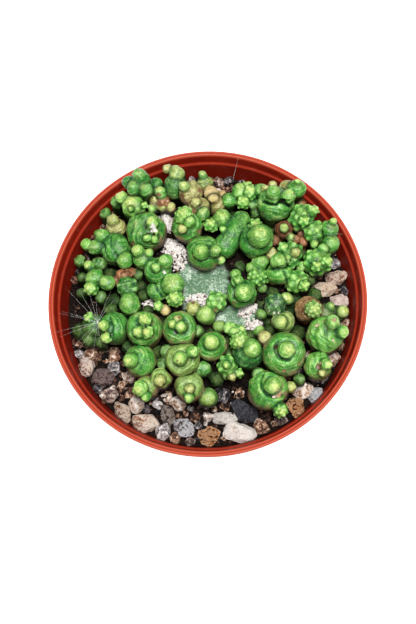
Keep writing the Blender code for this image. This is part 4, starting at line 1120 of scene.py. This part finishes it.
def dress(name, mesh, balls, others, settings):
    """Raises rings and lumps on a head and stores the masks that its skin reads."""
    points = read_points(mesh)
    normals = read_normals(mesh)
    reach = np.column_stack([ball.reach(points) for ball in balls])
    weights = np.exp(-np.clip(reach - reach.min(axis=1)[:, None], 0, 20 * MM) / (0.3 * MM))
    weights /= weights.sum(axis=1)[:, None]
    height = 0.50 * MM * soft_noise(points, 4.4 * MM, 51) + 0.30 * MM * soft_noise(points, 1.9 * MM, 52)
    tip, spread = np.zeros((2, len(points)))
    for number, ball in enumerate(balls):
        near = weights[:, number] > 1e-3
        share = weights[near, number]
        turn, out = ball.turn(points[near])
        distance = spread_from(ball, points[near])
        wave = ripples(ball, points[near], distance, settings)
        lumps = tubercles(ball, out) if ball.look.lumps else np.zeros(len(out))
        if ball.look.lumps < 0.3:
            lumps *= 1 - 0.7 * smooth_step(0.5, 1.4, turn)
        height[near] += share * MM * (ball.look.rings * wave + ball.look.lumps * lumps)
        tip[near] += share * ball.look.tip * np.exp(-(turn / 0.62) ** 2)
        spread[near] += share * distance
    top = smooth_step(0.1, 0.5, normals[:, 2])
    depth, inside = carve(name, points, top)
    scar = mark_scars(name, mesh, points, top)
    write_points(mesh, points + normals * (height - depth - 0.25 * MM * scar)[:, None])
    lumps = {}
    for ball, away in zip(balls, reach.T):
        lumps[ball.lump] = np.minimum(lumps.get(ball.lump, np.inf), away)
    away = list(lumps.values()) + [ball.reach(points) for ball in others]
    # Painted shade where lumps of flesh meet and along the creases, strongest close to a neighbour
    close = np.sort(np.column_stack(away), axis=1)[:, 1] if len(away) > 1 else np.full(len(points), 1.0)
    close = np.clip(close, 0, None) / MM
    write_mask(mesh, "fold_shade", np.maximum(inside, 0.60 * np.exp(-close / 0.40) + 0.26 * np.exp(-close / 2.0)))
    # Painted shade in hollows and painted light on edges and lumps, read from this mask by the skin
    write_mask(mesh, "hollow_shading", hollows(mesh))
    write_mask(mesh, "tip", tip)
    write_mask(mesh, "spread", spread / MM)
    # Painted shade: darker on the lower part of each ball and on everything below the rim
    low = np.column_stack([(points[:, 2] - ball.centre[2]) / ball.radius for ball in balls])
    deep = 0.95 * (1 - smooth_step(RIM - 4.5 * MM, RIM + 2.5 * MM, points[:, 2]))
    write_mask(mesh, "low", np.maximum(deep, 1 - smooth_step(-1.2, 0.8, blended(weights, low))))
    for word in ("cork", "shade", "warm"):
        values = np.array([getattr(ball.look, word) for ball in balls])
        write_mask(mesh, word, blended(weights, values))


def blended(weights, values):
    return (weights * values).sum(axis=1)


def skin(name, dark, middle, light, settings):
    """Waxy satin skin: light tips, warm and corky parts where the masks ask for them, painted shade in folds, hollows
    and low parts, and painted light on ridges.
    """
    finish = Finish(name)
    cloud = finish.noise(3.0 * MM, 3)
    streak = finish.streaks(finish.mask("spread"), settings.streak_pitch)
    speck = finish.noise(0.55 * MM, 3, 0.65)
    pimple = finish.span(finish.cells(0.95 * MM), 0.12, 0.5, 1.0, 0.0)
    low = finish.mask("low")
    fold_shade = finish.mask("fold_shade")
    hollow_shading = finish.mask("hollow_shading")
    warm = finish.mask("warm")
    # The hollow mask paints shade in hollows and light on ridges
    tone = finish.total(-0.80, (finish.mask("shade"), 0.22), (hollow_shading, -0.80), (cloud, 0.70), (streak, 1.00),
                        (speck, 0.70))
    colour = finish.ramp(tone, ((0.12, dark), (0.5, middle), (0.9, light)))
    colour = finish.mix(finish.span(finish.noise(5.5 * MM, 2), 0.45, 0.65, 0.0, 0.35), colour,
                        finish.ramp(tone, ((0.1, dark), (0.9, settings.olive_colour[:]))))
    tan = finish.ramp(tone, ((0.1, settings.warm_dark[:]), (0.8, settings.warm_light[:])))
    dry = finish.ramp(tone, ((0.1, settings.dry_dark[:]), (0.9, settings.dry_light[:])))
    colour = finish.mix(finish.span(warm, 0, 1), colour, tan)
    colour = finish.mix(finish.span(warm, 1, 2), colour, dry)
    # Pale scurf lines, with more of them on ridges as painted light
    lines = finish.math("MULTIPLY", finish.span(finish.total(0, (streak, 1), (hollow_shading, -0.35)), 0.58, 0.70),
                        finish.span(cloud, 0.42, 0.62, 0.0, 0.5))
    dots = finish.math("MULTIPLY", pimple, finish.span(speck, 0.46, 0.62, 0.0, 0.60))
    marks = finish.math("MULTIPLY", finish.math("MAXIMUM", lines, dots), finish.span(warm, 1.0, 1.8, 1.0, 0.25))
    colour = finish.mix(marks, colour, finish.mix(finish.span(warm, 0.3, 1.0), settings.line_colour,
                                                  settings.scurf_colour))
    cork = finish.math("MULTIPLY", finish.mask("cork"),
                       finish.span(finish.total(0, (cloud, 0.6), (streak, 0.5), (low, 0.6)), 0.60, 0.82))
    colour = finish.mix(cork, colour, settings.cork_colour)
    # Painted shade on the low parts of each ball and below the rim
    shadow = finish.mix(finish.span(warm, 0.8, 1.6), settings.fold_shade_colour, settings.dry_dark)
    colour = finish.mix(finish.span(low, 0.1, 1.0, 0.0, 0.92), colour, shadow)
    buds = finish.span(finish.total(0, (finish.cells(0.8 * MM), 1), (speck, 0.5)), 0.4, 0.9, 1.15, 0.35)
    tip = finish.math("MINIMUM", finish.math("MULTIPLY", finish.mask("tip"), buds), 1.0)
    tip_colour = finish.mix(warm, settings.tip_colour, settings.blush_colour)
    colour = finish.mix(tip, colour, tip_colour)
    # Painted shade in the folds and creases
    colour = finish.mix(finish.span(fold_shade, 0.12, 0.85, 0.0, 0.93), colour, settings.fold_shade_colour)
    scar = finish.ramp(finish.total(-0.1, (finish.mask("scar_tone"), 1), (speck, 0.2)),
                       ((0.05, (0.012, 0.008, 0.005)), (0.4, (0.22, 0.10, 0.05)), (0.7, (0.60, 0.40, 0.24)),
                        (0.95, (0.86, 0.80, 0.76))))
    colour = finish.mix(finish.mask("scar"), colour, scar)
    finish.set("Base Color", colour)
    finish.set("Roughness", finish.span(speck, 0.3, 0.7, 0.27, 0.50))
    gloss = finish.math("MULTIPLY", finish.span(fold_shade, 0.1, 0.8, 0.6, 0.03), finish.span(low, 0.1, 0.8, 1.0, 0.15))
    finish.set("Specular IOR Level", gloss)
    finish.set("Subsurface Weight", 0.05)
    finish.set("Subsurface Scale", 0.5 * MM)
    finish.set("Subsurface Radius", (0.5, 1.0, 0.25))
    finish.bump(finish.total(0, (streak, 0.9), (speck, 0.6), (pimple, 0.5)), settings.streak_depth)
    return finish.material


def skins(settings):
    """One skin for each of the record's slots."""
    dark, middle, light = settings.green_dark[:], settings.green[:], settings.green_light[:]
    deep = [tuple(value * share for value, share in zip(colour, (0.6, 0.8, 0.85)))
            for colour in (dark, middle, light)]
    dull = [tuple(value * share for value, share in zip(colour, (1.5, 0.9, 1.5)))
            for colour in (dark, middle, light)]
    return {
        "green_skin": skin("green_skin", dark, middle, light, settings),
        "deep_green_skin": skin("deep_green_skin", *deep, settings),
        "striped_skin": skin("striped_skin", *dull, settings),
        "tan_skin": skin("tan_skin", *dull, settings),
    }


def build_heads(settings):
    heads = read_heads()
    finishes = skins(settings)
    for name, balls in heads.items():
        middle = balls[0].centre
        near = [ball for other, group in heads.items() if other != name for ball in group
                if np.linalg.norm(ball.centre - middle) < 20 * MM]
        mesh = fused(name + "_flesh", balls, settings.voxel)
        dress(name, mesh, balls, near, settings)
        slot = HEADS[name][0]
        add_piece(name + "_flesh", mesh, finishes[slot], [name])
    buds = low_buds(heads, settings.seed)
    for side, group in (("left", [bud for bud in buds if bud.centre[0] < 0]),
                        ("right", [bud for bud in buds if bud.centre[0] >= 0])):
        mesh = fused("low_buds_" + side, group, 1.5 * settings.voxel)
        dress(side, mesh, group, [], settings)
        add_piece("low_buds_" + side, mesh, finishes["green_skin"])


def build_hairs(settings):
    """Fine white hairs that stand out of the left edge like a star, and a few single ones."""
    rng = np.random.default_rng(settings.seed)
    finish = Finish("white_hair")
    finish.set("Base Color", (0.85, 0.85, 0.80))
    finish.set("Roughness", 0.5)
    curve = bpy.data.curves.new("fine_hairs", "CURVE")
    curve.dimensions = "3D"
    curve.bevel_depth = settings.hair_radius
    curve.bevel_resolution = 1
    curve.use_fill_caps = True
    root = np.array(HAIR_ROOT)
    for number in range(14):
        angle = math.radians(50 + 17 * number + rng.uniform(-8, 8))
        reach = rng.uniform(8, 17)
        end = root + (reach * math.cos(angle), reach * math.sin(angle), rng.uniform(0.5, 5))
        add_hair(curve, root, end, rng.uniform(0.3, 1.0))
    add_hair(curve, (15.4, 45.6, 1), (18.2, 52.6, 5), 0.3)
    add_hair(curve, (50.6, 17.4, 4), (53.4, 16.0, 6), 0.1)
    add_hair(curve, (-32.4, -16.4, 4), (-29.8, -20.4, 6.5), 0.5)
    mesh_source = bpy.data.objects.new("fine_hairs", curve)
    bpy.context.scene.collection.objects.link(mesh_source)
    graph = bpy.context.evaluated_depsgraph_get()
    mesh = bpy.data.meshes.new_from_object(mesh_source.evaluated_get(graph))
    bpy.data.objects.remove(mesh_source)
    mesh.materials.clear()
    add_piece("fine_hairs", mesh, finish.material)


def add_hair(curve, root, end, bow):
    """A thin line that tapers to its end, in mm with heights over the rim."""
    spline = curve.splines.new("POLY")
    steps = 8
    spline.points.add(steps)
    for step in range(steps + 1):
        share = step / steps
        place = [a + (b - a) * share for a, b in zip(root, end)]
        place[2] += bow * 4 * share * (1 - share) + RIM / MM
        spline.points[step].co = (*(value * MM for value in place), 1)
        spline.points[step].radius = 1 - 0.75 * share


# Stones


def rock(name, main, patch, share, pits):
    """A dry worn stone in two mottled colours with dark pits and pale grains, painted shade in its hollows and
    painted light on its edges.
    """
    finish = Finish(name)
    blotch = finish.noise(6.0 * MM, 5, 0.65)
    fine = finish.noise((0.85 + 0.3 * pits) * MM, 5, 0.8 - 0.2 * pits)
    # The hollow mask darkens hollows as painted shade and lightens edges as painted light
    grain = finish.total(-1.1 - 1.9 * pits, (fine, 3.2 + 4.4 * pits), (finish.mask("hollow_shading"), -0.7 - 0.8 * pits))
    # The darker patch colour leans to each stone's -x side: painted shade on the side away from the light
    mixed = finish.total(-0.15, (blotch, 1), (fine, 0.3), (finish.mask("side"), 0.12))
    edge = 0.27 + 0.42 * share
    colour = finish.mix(finish.span(mixed, edge - 0.06, edge + 0.03), patch, main)
    pale = tuple(value ** 0.58 for value in main)
    colour = finish.mix(finish.span(grain, 0.55, 0.80, 0.0, 0.85), colour, pale)
    deep = tuple(value * 0.2 for value in patch)
    colour = finish.mix(finish.span(grain, 0.38, 0.18, 0.0, 0.50 + 0.45 * pits), colour, deep)
    finish.set("Base Color", colour)
    finish.set("Roughness", 0.7)
    finish.set("Specular IOR Level", 0.3)
    finish.bump(grain, (0.3 + 0.5 * pits) * MM)
    return finish.material


def stone_points(row, fineness, seed):
    """A worn, chipped stone: a ball stretched to its half sizes, dented and faceted."""
    x, y, *half, turn = row
    directions, faces = ball_template(fineness)
    rough = np.array([noise.noise(Vector(d) * 1.3 + Vector((x, y, 0))) for d in directions])
    body = directions * (1 + STONE_DENTS * rough)[:, None]
    rng = np.random.default_rng(seed)
    for facet in range(14):
        way = rng.normal(size=3)
        way /= np.linalg.norm(way)
        over = np.clip(body @ way - rng.uniform(0.62, 0.9), 0, None)
        body -= 0.93 * over[:, None] * way
    body /= np.percentile(np.linalg.norm(body, axis=1), 75)
    points = body * np.array(half) * MM
    angle = math.radians(turn)
    across = np.array(((math.cos(angle), math.sin(angle), 0), (-math.sin(angle), math.cos(angle), 0),
                       (0, 0, 1)))
    points = points @ across
    return points, faces, directions @ across


def build_stones(settings):
    for seed, (name, (row, main, patch, share, pits)) in enumerate(STONES.items()):
        points, faces, outward = stone_points(row, settings.fineness, seed)
        spot = np.array([(row[0] * MM, row[1] * MM, 0.0)])
        base = support_height(spot)[0] if mound_reach(spot)[0] < 1 else SOIL_LEVEL - 0.3 * MM
        points += (*spot[0, :2], base + STONE_SINK * row[4] * MM)
        rough = (0.22 + 0.2 * pits) * layered_noise(points, 2.0 * MM, seed, 4) - 1.2 * pits * np.clip(
            soft_noise(points, 1.5 * MM, seed + 40), 0, None)
        points = pressed_in(points + outward * (rough * MM)[:, None])
        mesh = mesh_from(name + "_rock", points, faces)
        # Painted shade in the stone's hollows and painted light on its edges
        write_mask(mesh, "hollow_shading", hollows(mesh))
        # Painted shade: the -x side of each stone takes more of its darker patch colour
        write_mask(mesh, "side", outward[:, 0])
        add_piece(name + "_rock", mesh, rock(name + "_rock", main, patch, share, pits),
                  [name])


def gravel(settings):
    """The pebbles of the table, and smaller ones that fill the open soil between all the stones."""
    rows = list(PEBBLES)
    rng = np.random.default_rng(settings.seed)
    spots = open_spots(rng, 3000)[:, :2] / MM
    x, y, wide, deep = BARE_SOIL
    spots = spots[np.hypot((spots[:, 0] - x) / wide, (spots[:, 1] - y) / deep) > 1]
    taken = [(x, y, radius) for x, y, radius, _ in PEBBLES]
    taken += [(row[0], row[1], 0.5 * (row[2] + row[3])) for row, *_ in STONES.values()]
    gap = np.min([np.hypot(spots[:, 0] - x, spots[:, 1] - y) - radius for x, y, radius in taken], axis=0)
    while gap.max() > 0.7:
        number = gap.argmax()
        radius = min(gap[number] + 0.2, rng.uniform(1.3, 2.6))
        rows.append((*spots[number], radius, min(0.28, rng.gamma(2.0, 0.09))))
        gap = np.minimum(gap, np.hypot(*(spots - spots[number]).T) - radius)
        gap[number] = 0
    return rows


def build_pebbles(settings):
    """Small stones between the large ones."""
    points, faces, tones, hues = [], [], [], []
    start = 0
    for seed, (x, y, radius, tone) in enumerate(gravel(settings)):
        inward = min(1, (inner_radius(SOIL_LEVEL) / MM - radius) / math.hypot(x, y))
        row = (inward * x, inward * y, 1.12 * radius, 0.94 * radius, 0.85 * radius, 37 * seed)
        fineness = settings.fineness - (1 if seed < len(PEBBLES) else 2)
        shape, triangles, outward = stone_points(row, fineness, seed + 60)
        spot = np.array([(row[0] * MM, row[1] * MM, 0.0)])
        base = max(soil_relief(spot)[0], SOIL_LEVEL - 0.5 * MM)
        shape += (*spot[0, :2], base + STONE_SINK * row[4] * MM)
        shape += outward * (0.16 * MM * layered_noise(shape, 1.4 * MM, seed, 3))[:, None]
        points.append(pressed_in(shape))
        faces.append(triangles + start)
        tones.append(np.full(len(shape), 0.05 + 1.08 * tone))
        hues.append(np.full(len(shape), seed * 0.618 % 1))
        start += len(shape)
    mesh = mesh_from("pebbles", np.concatenate(points), np.concatenate(faces))
    write_mask(mesh, "tone", np.concatenate(tones))
    write_mask(mesh, "hue", np.concatenate(hues))
    # Painted shade in the hollows and painted light on the edges of the pebbles
    write_mask(mesh, "hollow_shading", hollows(mesh, 3) - 0.05)
    add_piece("pebbles", mesh, grain_finish("pebble_rock", EARTH_STOPS, 0.75, 0.0, 1.9))


# Stage


def build_backdrop(settings):
    """A pale dome round the stage, which only the camera sees, so it gives no light."""
    bm = bmesh.new()
    bmesh.ops.create_uvsphere(bm, u_segments=48, v_segments=24, radius=2 * settings.floor_size)
    mesh = bpy.data.meshes.new("backdrop")
    bm.to_mesh(mesh)
    bm.free()
    finish = Finish("backdrop_paper")
    finish.set("Base Color", settings.floor_colour[:])
    finish.set("Roughness", 0.9)
    finish.set("Emission Color", (1.0, 1.0, 1.0))
    finish.set("Emission Strength", settings.backdrop_glow)
    mesh.materials.append(finish.material)
    mesh.shade_smooth()
    backdrop = bpy.data.objects.new("backdrop", mesh)
    for kind in ("diffuse", "glossy", "transmission", "shadow", "volume_scatter"):
        setattr(backdrop, "visible_" + kind, False)
    bpy.context.scene.collection.objects.link(backdrop)


def build_floor(settings):
    bm = bmesh.new()
    bmesh.ops.create_grid(bm, x_segments=1, y_segments=1, size=settings.floor_size)
    mesh = bpy.data.meshes.new("floor")
    bm.to_mesh(mesh)
    bm.free()
    finish = Finish("floor_paper")
    finish.set("Base Color", settings.floor_colour[:])
    finish.set("Roughness", 0.9)
    finish.set("Emission Color", (1.0, 1.0, 1.0))
    finish.set("Emission Strength", settings.floor_glow)
    floor = bpy.data.objects.new("floor", mesh)
    mesh.materials.append(finish.material)
    bpy.context.scene.collection.objects.link(floor)


def add_softbox(name, place, aim, size, power):
    light = bpy.data.lights.new(name, "AREA")
    light.shape = "DISK"
    light.size = size
    light.energy = power
    lamp = bpy.data.objects.new(name, light)
    lamp.location = place
    lamp.rotation_euler = (Vector(aim) - Vector(place)).to_track_quat("-Z", "Y").to_euler()
    bpy.context.scene.collection.objects.link(lamp)


def build_lights(settings):
    aim = (0, 0, RIM)
    add_softbox("overhead_light", (0.06, -0.08, RIM + 0.78), aim, 0.34, settings.key_power)
    add_softbox("small_light", (0.05, 0.06, RIM + 0.72), aim, 0.06, settings.small_power)
    world = bpy.data.worlds.new("studio")
    world.use_nodes = True
    world.node_tree.nodes["Background"].inputs["Color"].default_value = (1, 1, 1, 1)
    world.node_tree.nodes["Background"].inputs["Strength"].default_value = settings.room_light
    bpy.context.scene.world = world


CAMERA_DISTANCE = 350 * MM
CAMERA_ANGLE = math.radians(72.70)
CAMERA_AIM = Vector((-0.27 * MM, -6.12 * MM, RIM))
CAMERA_ROLL = math.radians(-6.84)
FOCAL_PIXELS = 933
FRAME_WIDTH = 416
SENSOR = 36


def build_camera():
    data = bpy.data.cameras.new("camera")
    data.sensor_fit = "HORIZONTAL"
    data.sensor_width = SENSOR
    data.lens = SENSOR * FOCAL_PIXELS / FRAME_WIDTH
    data.clip_start = 0.01
    camera = bpy.data.objects.new("camera", data)
    place = Vector((0, -math.cos(CAMERA_ANGLE), math.sin(CAMERA_ANGLE))) * CAMERA_DISTANCE
    camera.location = place + Vector((0, 0, RIM))
    view = (CAMERA_AIM - camera.location).to_track_quat("-Z", "Y").to_matrix().to_4x4()
    camera.rotation_euler = (view @ Matrix.Rotation(CAMERA_ROLL, 4, "Z")).to_euler()
    bpy.context.scene.collection.objects.link(camera)
    bpy.context.scene.camera = camera


# Settings


def length(name, text, default):
    return FloatProperty(name=name, description=text, default=default, min=0, unit="LENGTH", subtype="DISTANCE",
                         precision=5)


def colour(name, text, default):
    return FloatVectorProperty(name=name, description=text, default=default, size=3, min=0, max=1,
                               subtype="COLOR")


class PotSettings(bpy.types.PropertyGroup):
    colour: colour("Plastic", "Colour of the pot", (0.40, 0.018, 0.005))
    # Darker mottle of the plastic, and the painted shade in the lip's groove
    colour_dark: colour("Shaded plastic", "Darker mottle of the pot", (0.31, 0.013, 0.004))
    # Painted shade for the inner wall and floor
    colour_inside_shade: colour("Inside", "Damp plastic inside the pot", (0.16, 0.0055, 0.0015))
    # Outer plastic colour, also painted light on the lip top, the ledge and the band above it
    colour_outside_and_lip_light: colour("Lip", "Colour of the worn lip", (0.55, 0.096, 0.050))
    segments: IntProperty(name="Segments", description="Facets round the pot", default=224, min=24)


class GroundSettings(bpy.types.PropertyGroup):
    soil_colour: colour("Soil", "Colour of the moist soil", (0.010, 0.0055, 0.004))
    frost_dark: colour("Old skin", "Darker colour of the old body", (0.10, 0.21, 0.10))
    frost_light: colour("Frost", "Lighter colour of the old body", (0.24, 0.38, 0.235))
    # Painted shade under the heads, with lighter specks
    gap_shade_colour: colour("Dirt", "Matter under the heads", (0.007, 0.005, 0.003))
    gap_shade_specks: colour("Dry dirt", "Lighter specks under the heads", (0.026, 0.014, 0.009))
    grains: IntProperty(name="Grains", description="Fine grains on the soil", default=2000, min=0)
    litter: IntProperty(name="Litter", description="Dry bits between the heads", default=900, min=0)
    seed: IntProperty(name="Seed", description="Start of the random scatter", default=7)


class PlantSettings(bpy.types.PropertyGroup):
    voxel: length("Mesh size", "Size of the faces of the flesh", 0.43 * MM)
    ring_pitch: length("Ring pitch", "Distance between raised rings of skin", 1.35 * MM)
    streak_pitch: FloatProperty(name="Streak pitch", description="Distance between fine rings, in mm",
                                default=0.65, min=0.1)
    streak_depth: length("Streak depth", "Depth of the fine rings", 0.22 * MM)
    hair_radius: length("Hair radius", "Thickness of the hairs at the root", 0.034 * MM)
    # The ramp's dark end falls in hollows and its light end on ridges and rounded tops, partly through painted shade
    # and painted light
    green_dark: colour("Dark green", "Skin in folds", (0.010, 0.085, 0.022))
    green: colour("Green", "Skin", (0.062, 0.320, 0.032))
    green_light: colour("Light green", "Skin on rounded tops", (0.360, 0.750, 0.150))
    tip_colour: colour("Tip", "Growing points", (0.660, 0.770, 0.215))
    blush_colour: colour("Blush", "Growing points of the warm heads", (0.620, 0.360, 0.210))
    olive_colour: colour("Olive", "Yellower patches of the skin", (0.400, 0.640, 0.130))
    line_colour: colour("Lines", "Pale lines on the rings", (0.530, 0.790, 0.360))
    scurf_colour: colour("Scurf", "Pale lines on the rings of warm skin", (0.600, 0.470, 0.360))
    # Painted shade where lumps of flesh meet
    fold_shade_colour: colour("Fold", "Where lumps of flesh meet", (0.006, 0.020, 0.005))
    warm_dark: colour("Dark tan", "Shaded tan skin", (0.160, 0.085, 0.018))
    warm_light: colour("Tan", "Light tan skin", (0.800, 0.640, 0.260))
    dry_dark: colour("Dark dry skin", "Shaded dry skin", (0.060, 0.012, 0.006))
    dry_light: colour("Dry skin", "Light dry skin", (0.480, 0.190, 0.080))
    cork_colour: colour("Cork", "Corky old skin", (0.300, 0.180, 0.095))
    seed: IntProperty(name="Seed", description="Start of the random places", default=3)


class StoneSettings(bpy.types.PropertyGroup):
    fineness: IntProperty(name="Fineness", description="Subdivisions of each stone", default=5, min=3, max=6)
    seed: IntProperty(name="Seed", description="Start of the gravel's random places", default=5)


class StageSettings(bpy.types.PropertyGroup):
    floor_size: length("Floor", "Half width of the floor", 1.5)
    floor_colour: colour("Floor colour", "Pale plain floor", (0.92, 0.92, 0.92))
    floor_glow: FloatProperty(name="Floor glow", description="Light that the floor gives off", default=1.0, min=0)
    backdrop_glow: FloatProperty(name="Backdrop glow", description="How bright the backdrop looks", default=0.9,
                                 min=0)
    key_power: FloatProperty(name="Key", description="Power of the overhead light in watts", default=6.2, min=0)
    small_power: FloatProperty(name="Small", description="Power of the small light in watts", default=2.2, min=0)
    room_light: FloatProperty(name="Room", description="Strength of the even light", default=0.05, min=0)


SETTINGS = {"cactus_pot": PotSettings, "cactus_ground": GroundSettings, "cactus_plant": PlantSettings,
            "cactus_stones": StoneSettings, "cactus_stage": StageSettings}


# Operators


class CACTUS_OT_pot(bpy.types.Operator):
    """Build the plastic pot"""

    bl_idname = "cactus.pot"
    bl_label = "Pot"

    def execute(self, context):
        build_pot(context.scene.cactus_pot)
        return {"FINISHED"}


class CACTUS_OT_soil(bpy.types.Operator):
    """Build the potting soil with its grains"""

    bl_idname = "cactus.soil"
    bl_label = "Soil"

    def execute(self, context):
        build_soil(context.scene.cactus_ground)
        build_grit(context.scene.cactus_ground)
        return {"FINISHED"}


class CACTUS_OT_old_body(bpy.types.Operator):
    """Build the frosted old body and its white crusts"""

    bl_idname = "cactus.old_body"
    bl_label = "Old Body"

    def execute(self, context):
        build_old_body(context.scene.cactus_ground)
        build_crusts(context.scene.cactus_ground)
        return {"FINISHED"}


class CACTUS_OT_heads(bpy.types.Operator):
    """Build every head of the plant"""

    bl_idname = "cactus.heads"
    bl_label = "Heads"

    def execute(self, context):
        build_heads(context.scene.cactus_plant)
        return {"FINISHED"}


class CACTUS_OT_hairs(bpy.types.Operator):
    """Build the fine hairs"""

    bl_idname = "cactus.hairs"
    bl_label = "Hairs"

    def execute(self, context):
        build_hairs(context.scene.cactus_plant)
        return {"FINISHED"}


class CACTUS_OT_stones(bpy.types.Operator):
    """Build the stones that lie on the soil"""

    bl_idname = "cactus.stones"
    bl_label = "Stones"

    def execute(self, context):
        build_stones(context.scene.cactus_stones)
        build_pebbles(context.scene.cactus_stones)
        return {"FINISHED"}


class CACTUS_OT_stage(bpy.types.Operator):
    """Set up the floor, the lights and the camera"""

    bl_idname = "cactus.stage"
    bl_label = "Stage"

    def execute(self, context):
        build_floor(context.scene.cactus_stage)
        build_backdrop(context.scene.cactus_stage)
        build_lights(context.scene.cactus_stage)
        build_camera()
        context.scene.view_settings.view_transform = "Standard"
        return {"FINISHED"}


OPERATORS = (CACTUS_OT_stage, CACTUS_OT_pot, CACTUS_OT_soil, CACTUS_OT_old_body, CACTUS_OT_heads,
             CACTUS_OT_hairs, CACTUS_OT_stones)


class CACTUS_PT_panel(bpy.types.Panel):
    """Lists the settings and the pieces"""

    bl_idname = "CACTUS_PT_panel"
    bl_label = "Powder Puff Cactus"
    bl_space_type = "VIEW_3D"
    bl_region_type = "UI"
    bl_category = "Cactus"

    def draw(self, context):
        for name, group in SETTINGS.items():
            box = self.layout.box()
            for word in group.__annotations__:
                box.prop(getattr(context.scene, name), word)
        for operator in OPERATORS:
            self.layout.operator(operator.bl_idname)


def register():
    for group in (*SETTINGS.values(), *OPERATORS, CACTUS_PT_panel):
        bpy.utils.register_class(group)
    for name, group in SETTINGS.items():
        setattr(bpy.types.Scene, name, PointerProperty(type=group))


def unregister():
    for name in SETTINGS:
        delattr(bpy.types.Scene, name)
    for group in reversed((*SETTINGS.values(), *OPERATORS, CACTUS_PT_panel)):
        bpy.utils.unregister_class(group)


def main():
    register()
    for operator in OPERATORS:
        getattr(bpy.ops.cactus, operator.bl_idname.split(".")[1])()
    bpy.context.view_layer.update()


if __name__ == "__main__":
    main()
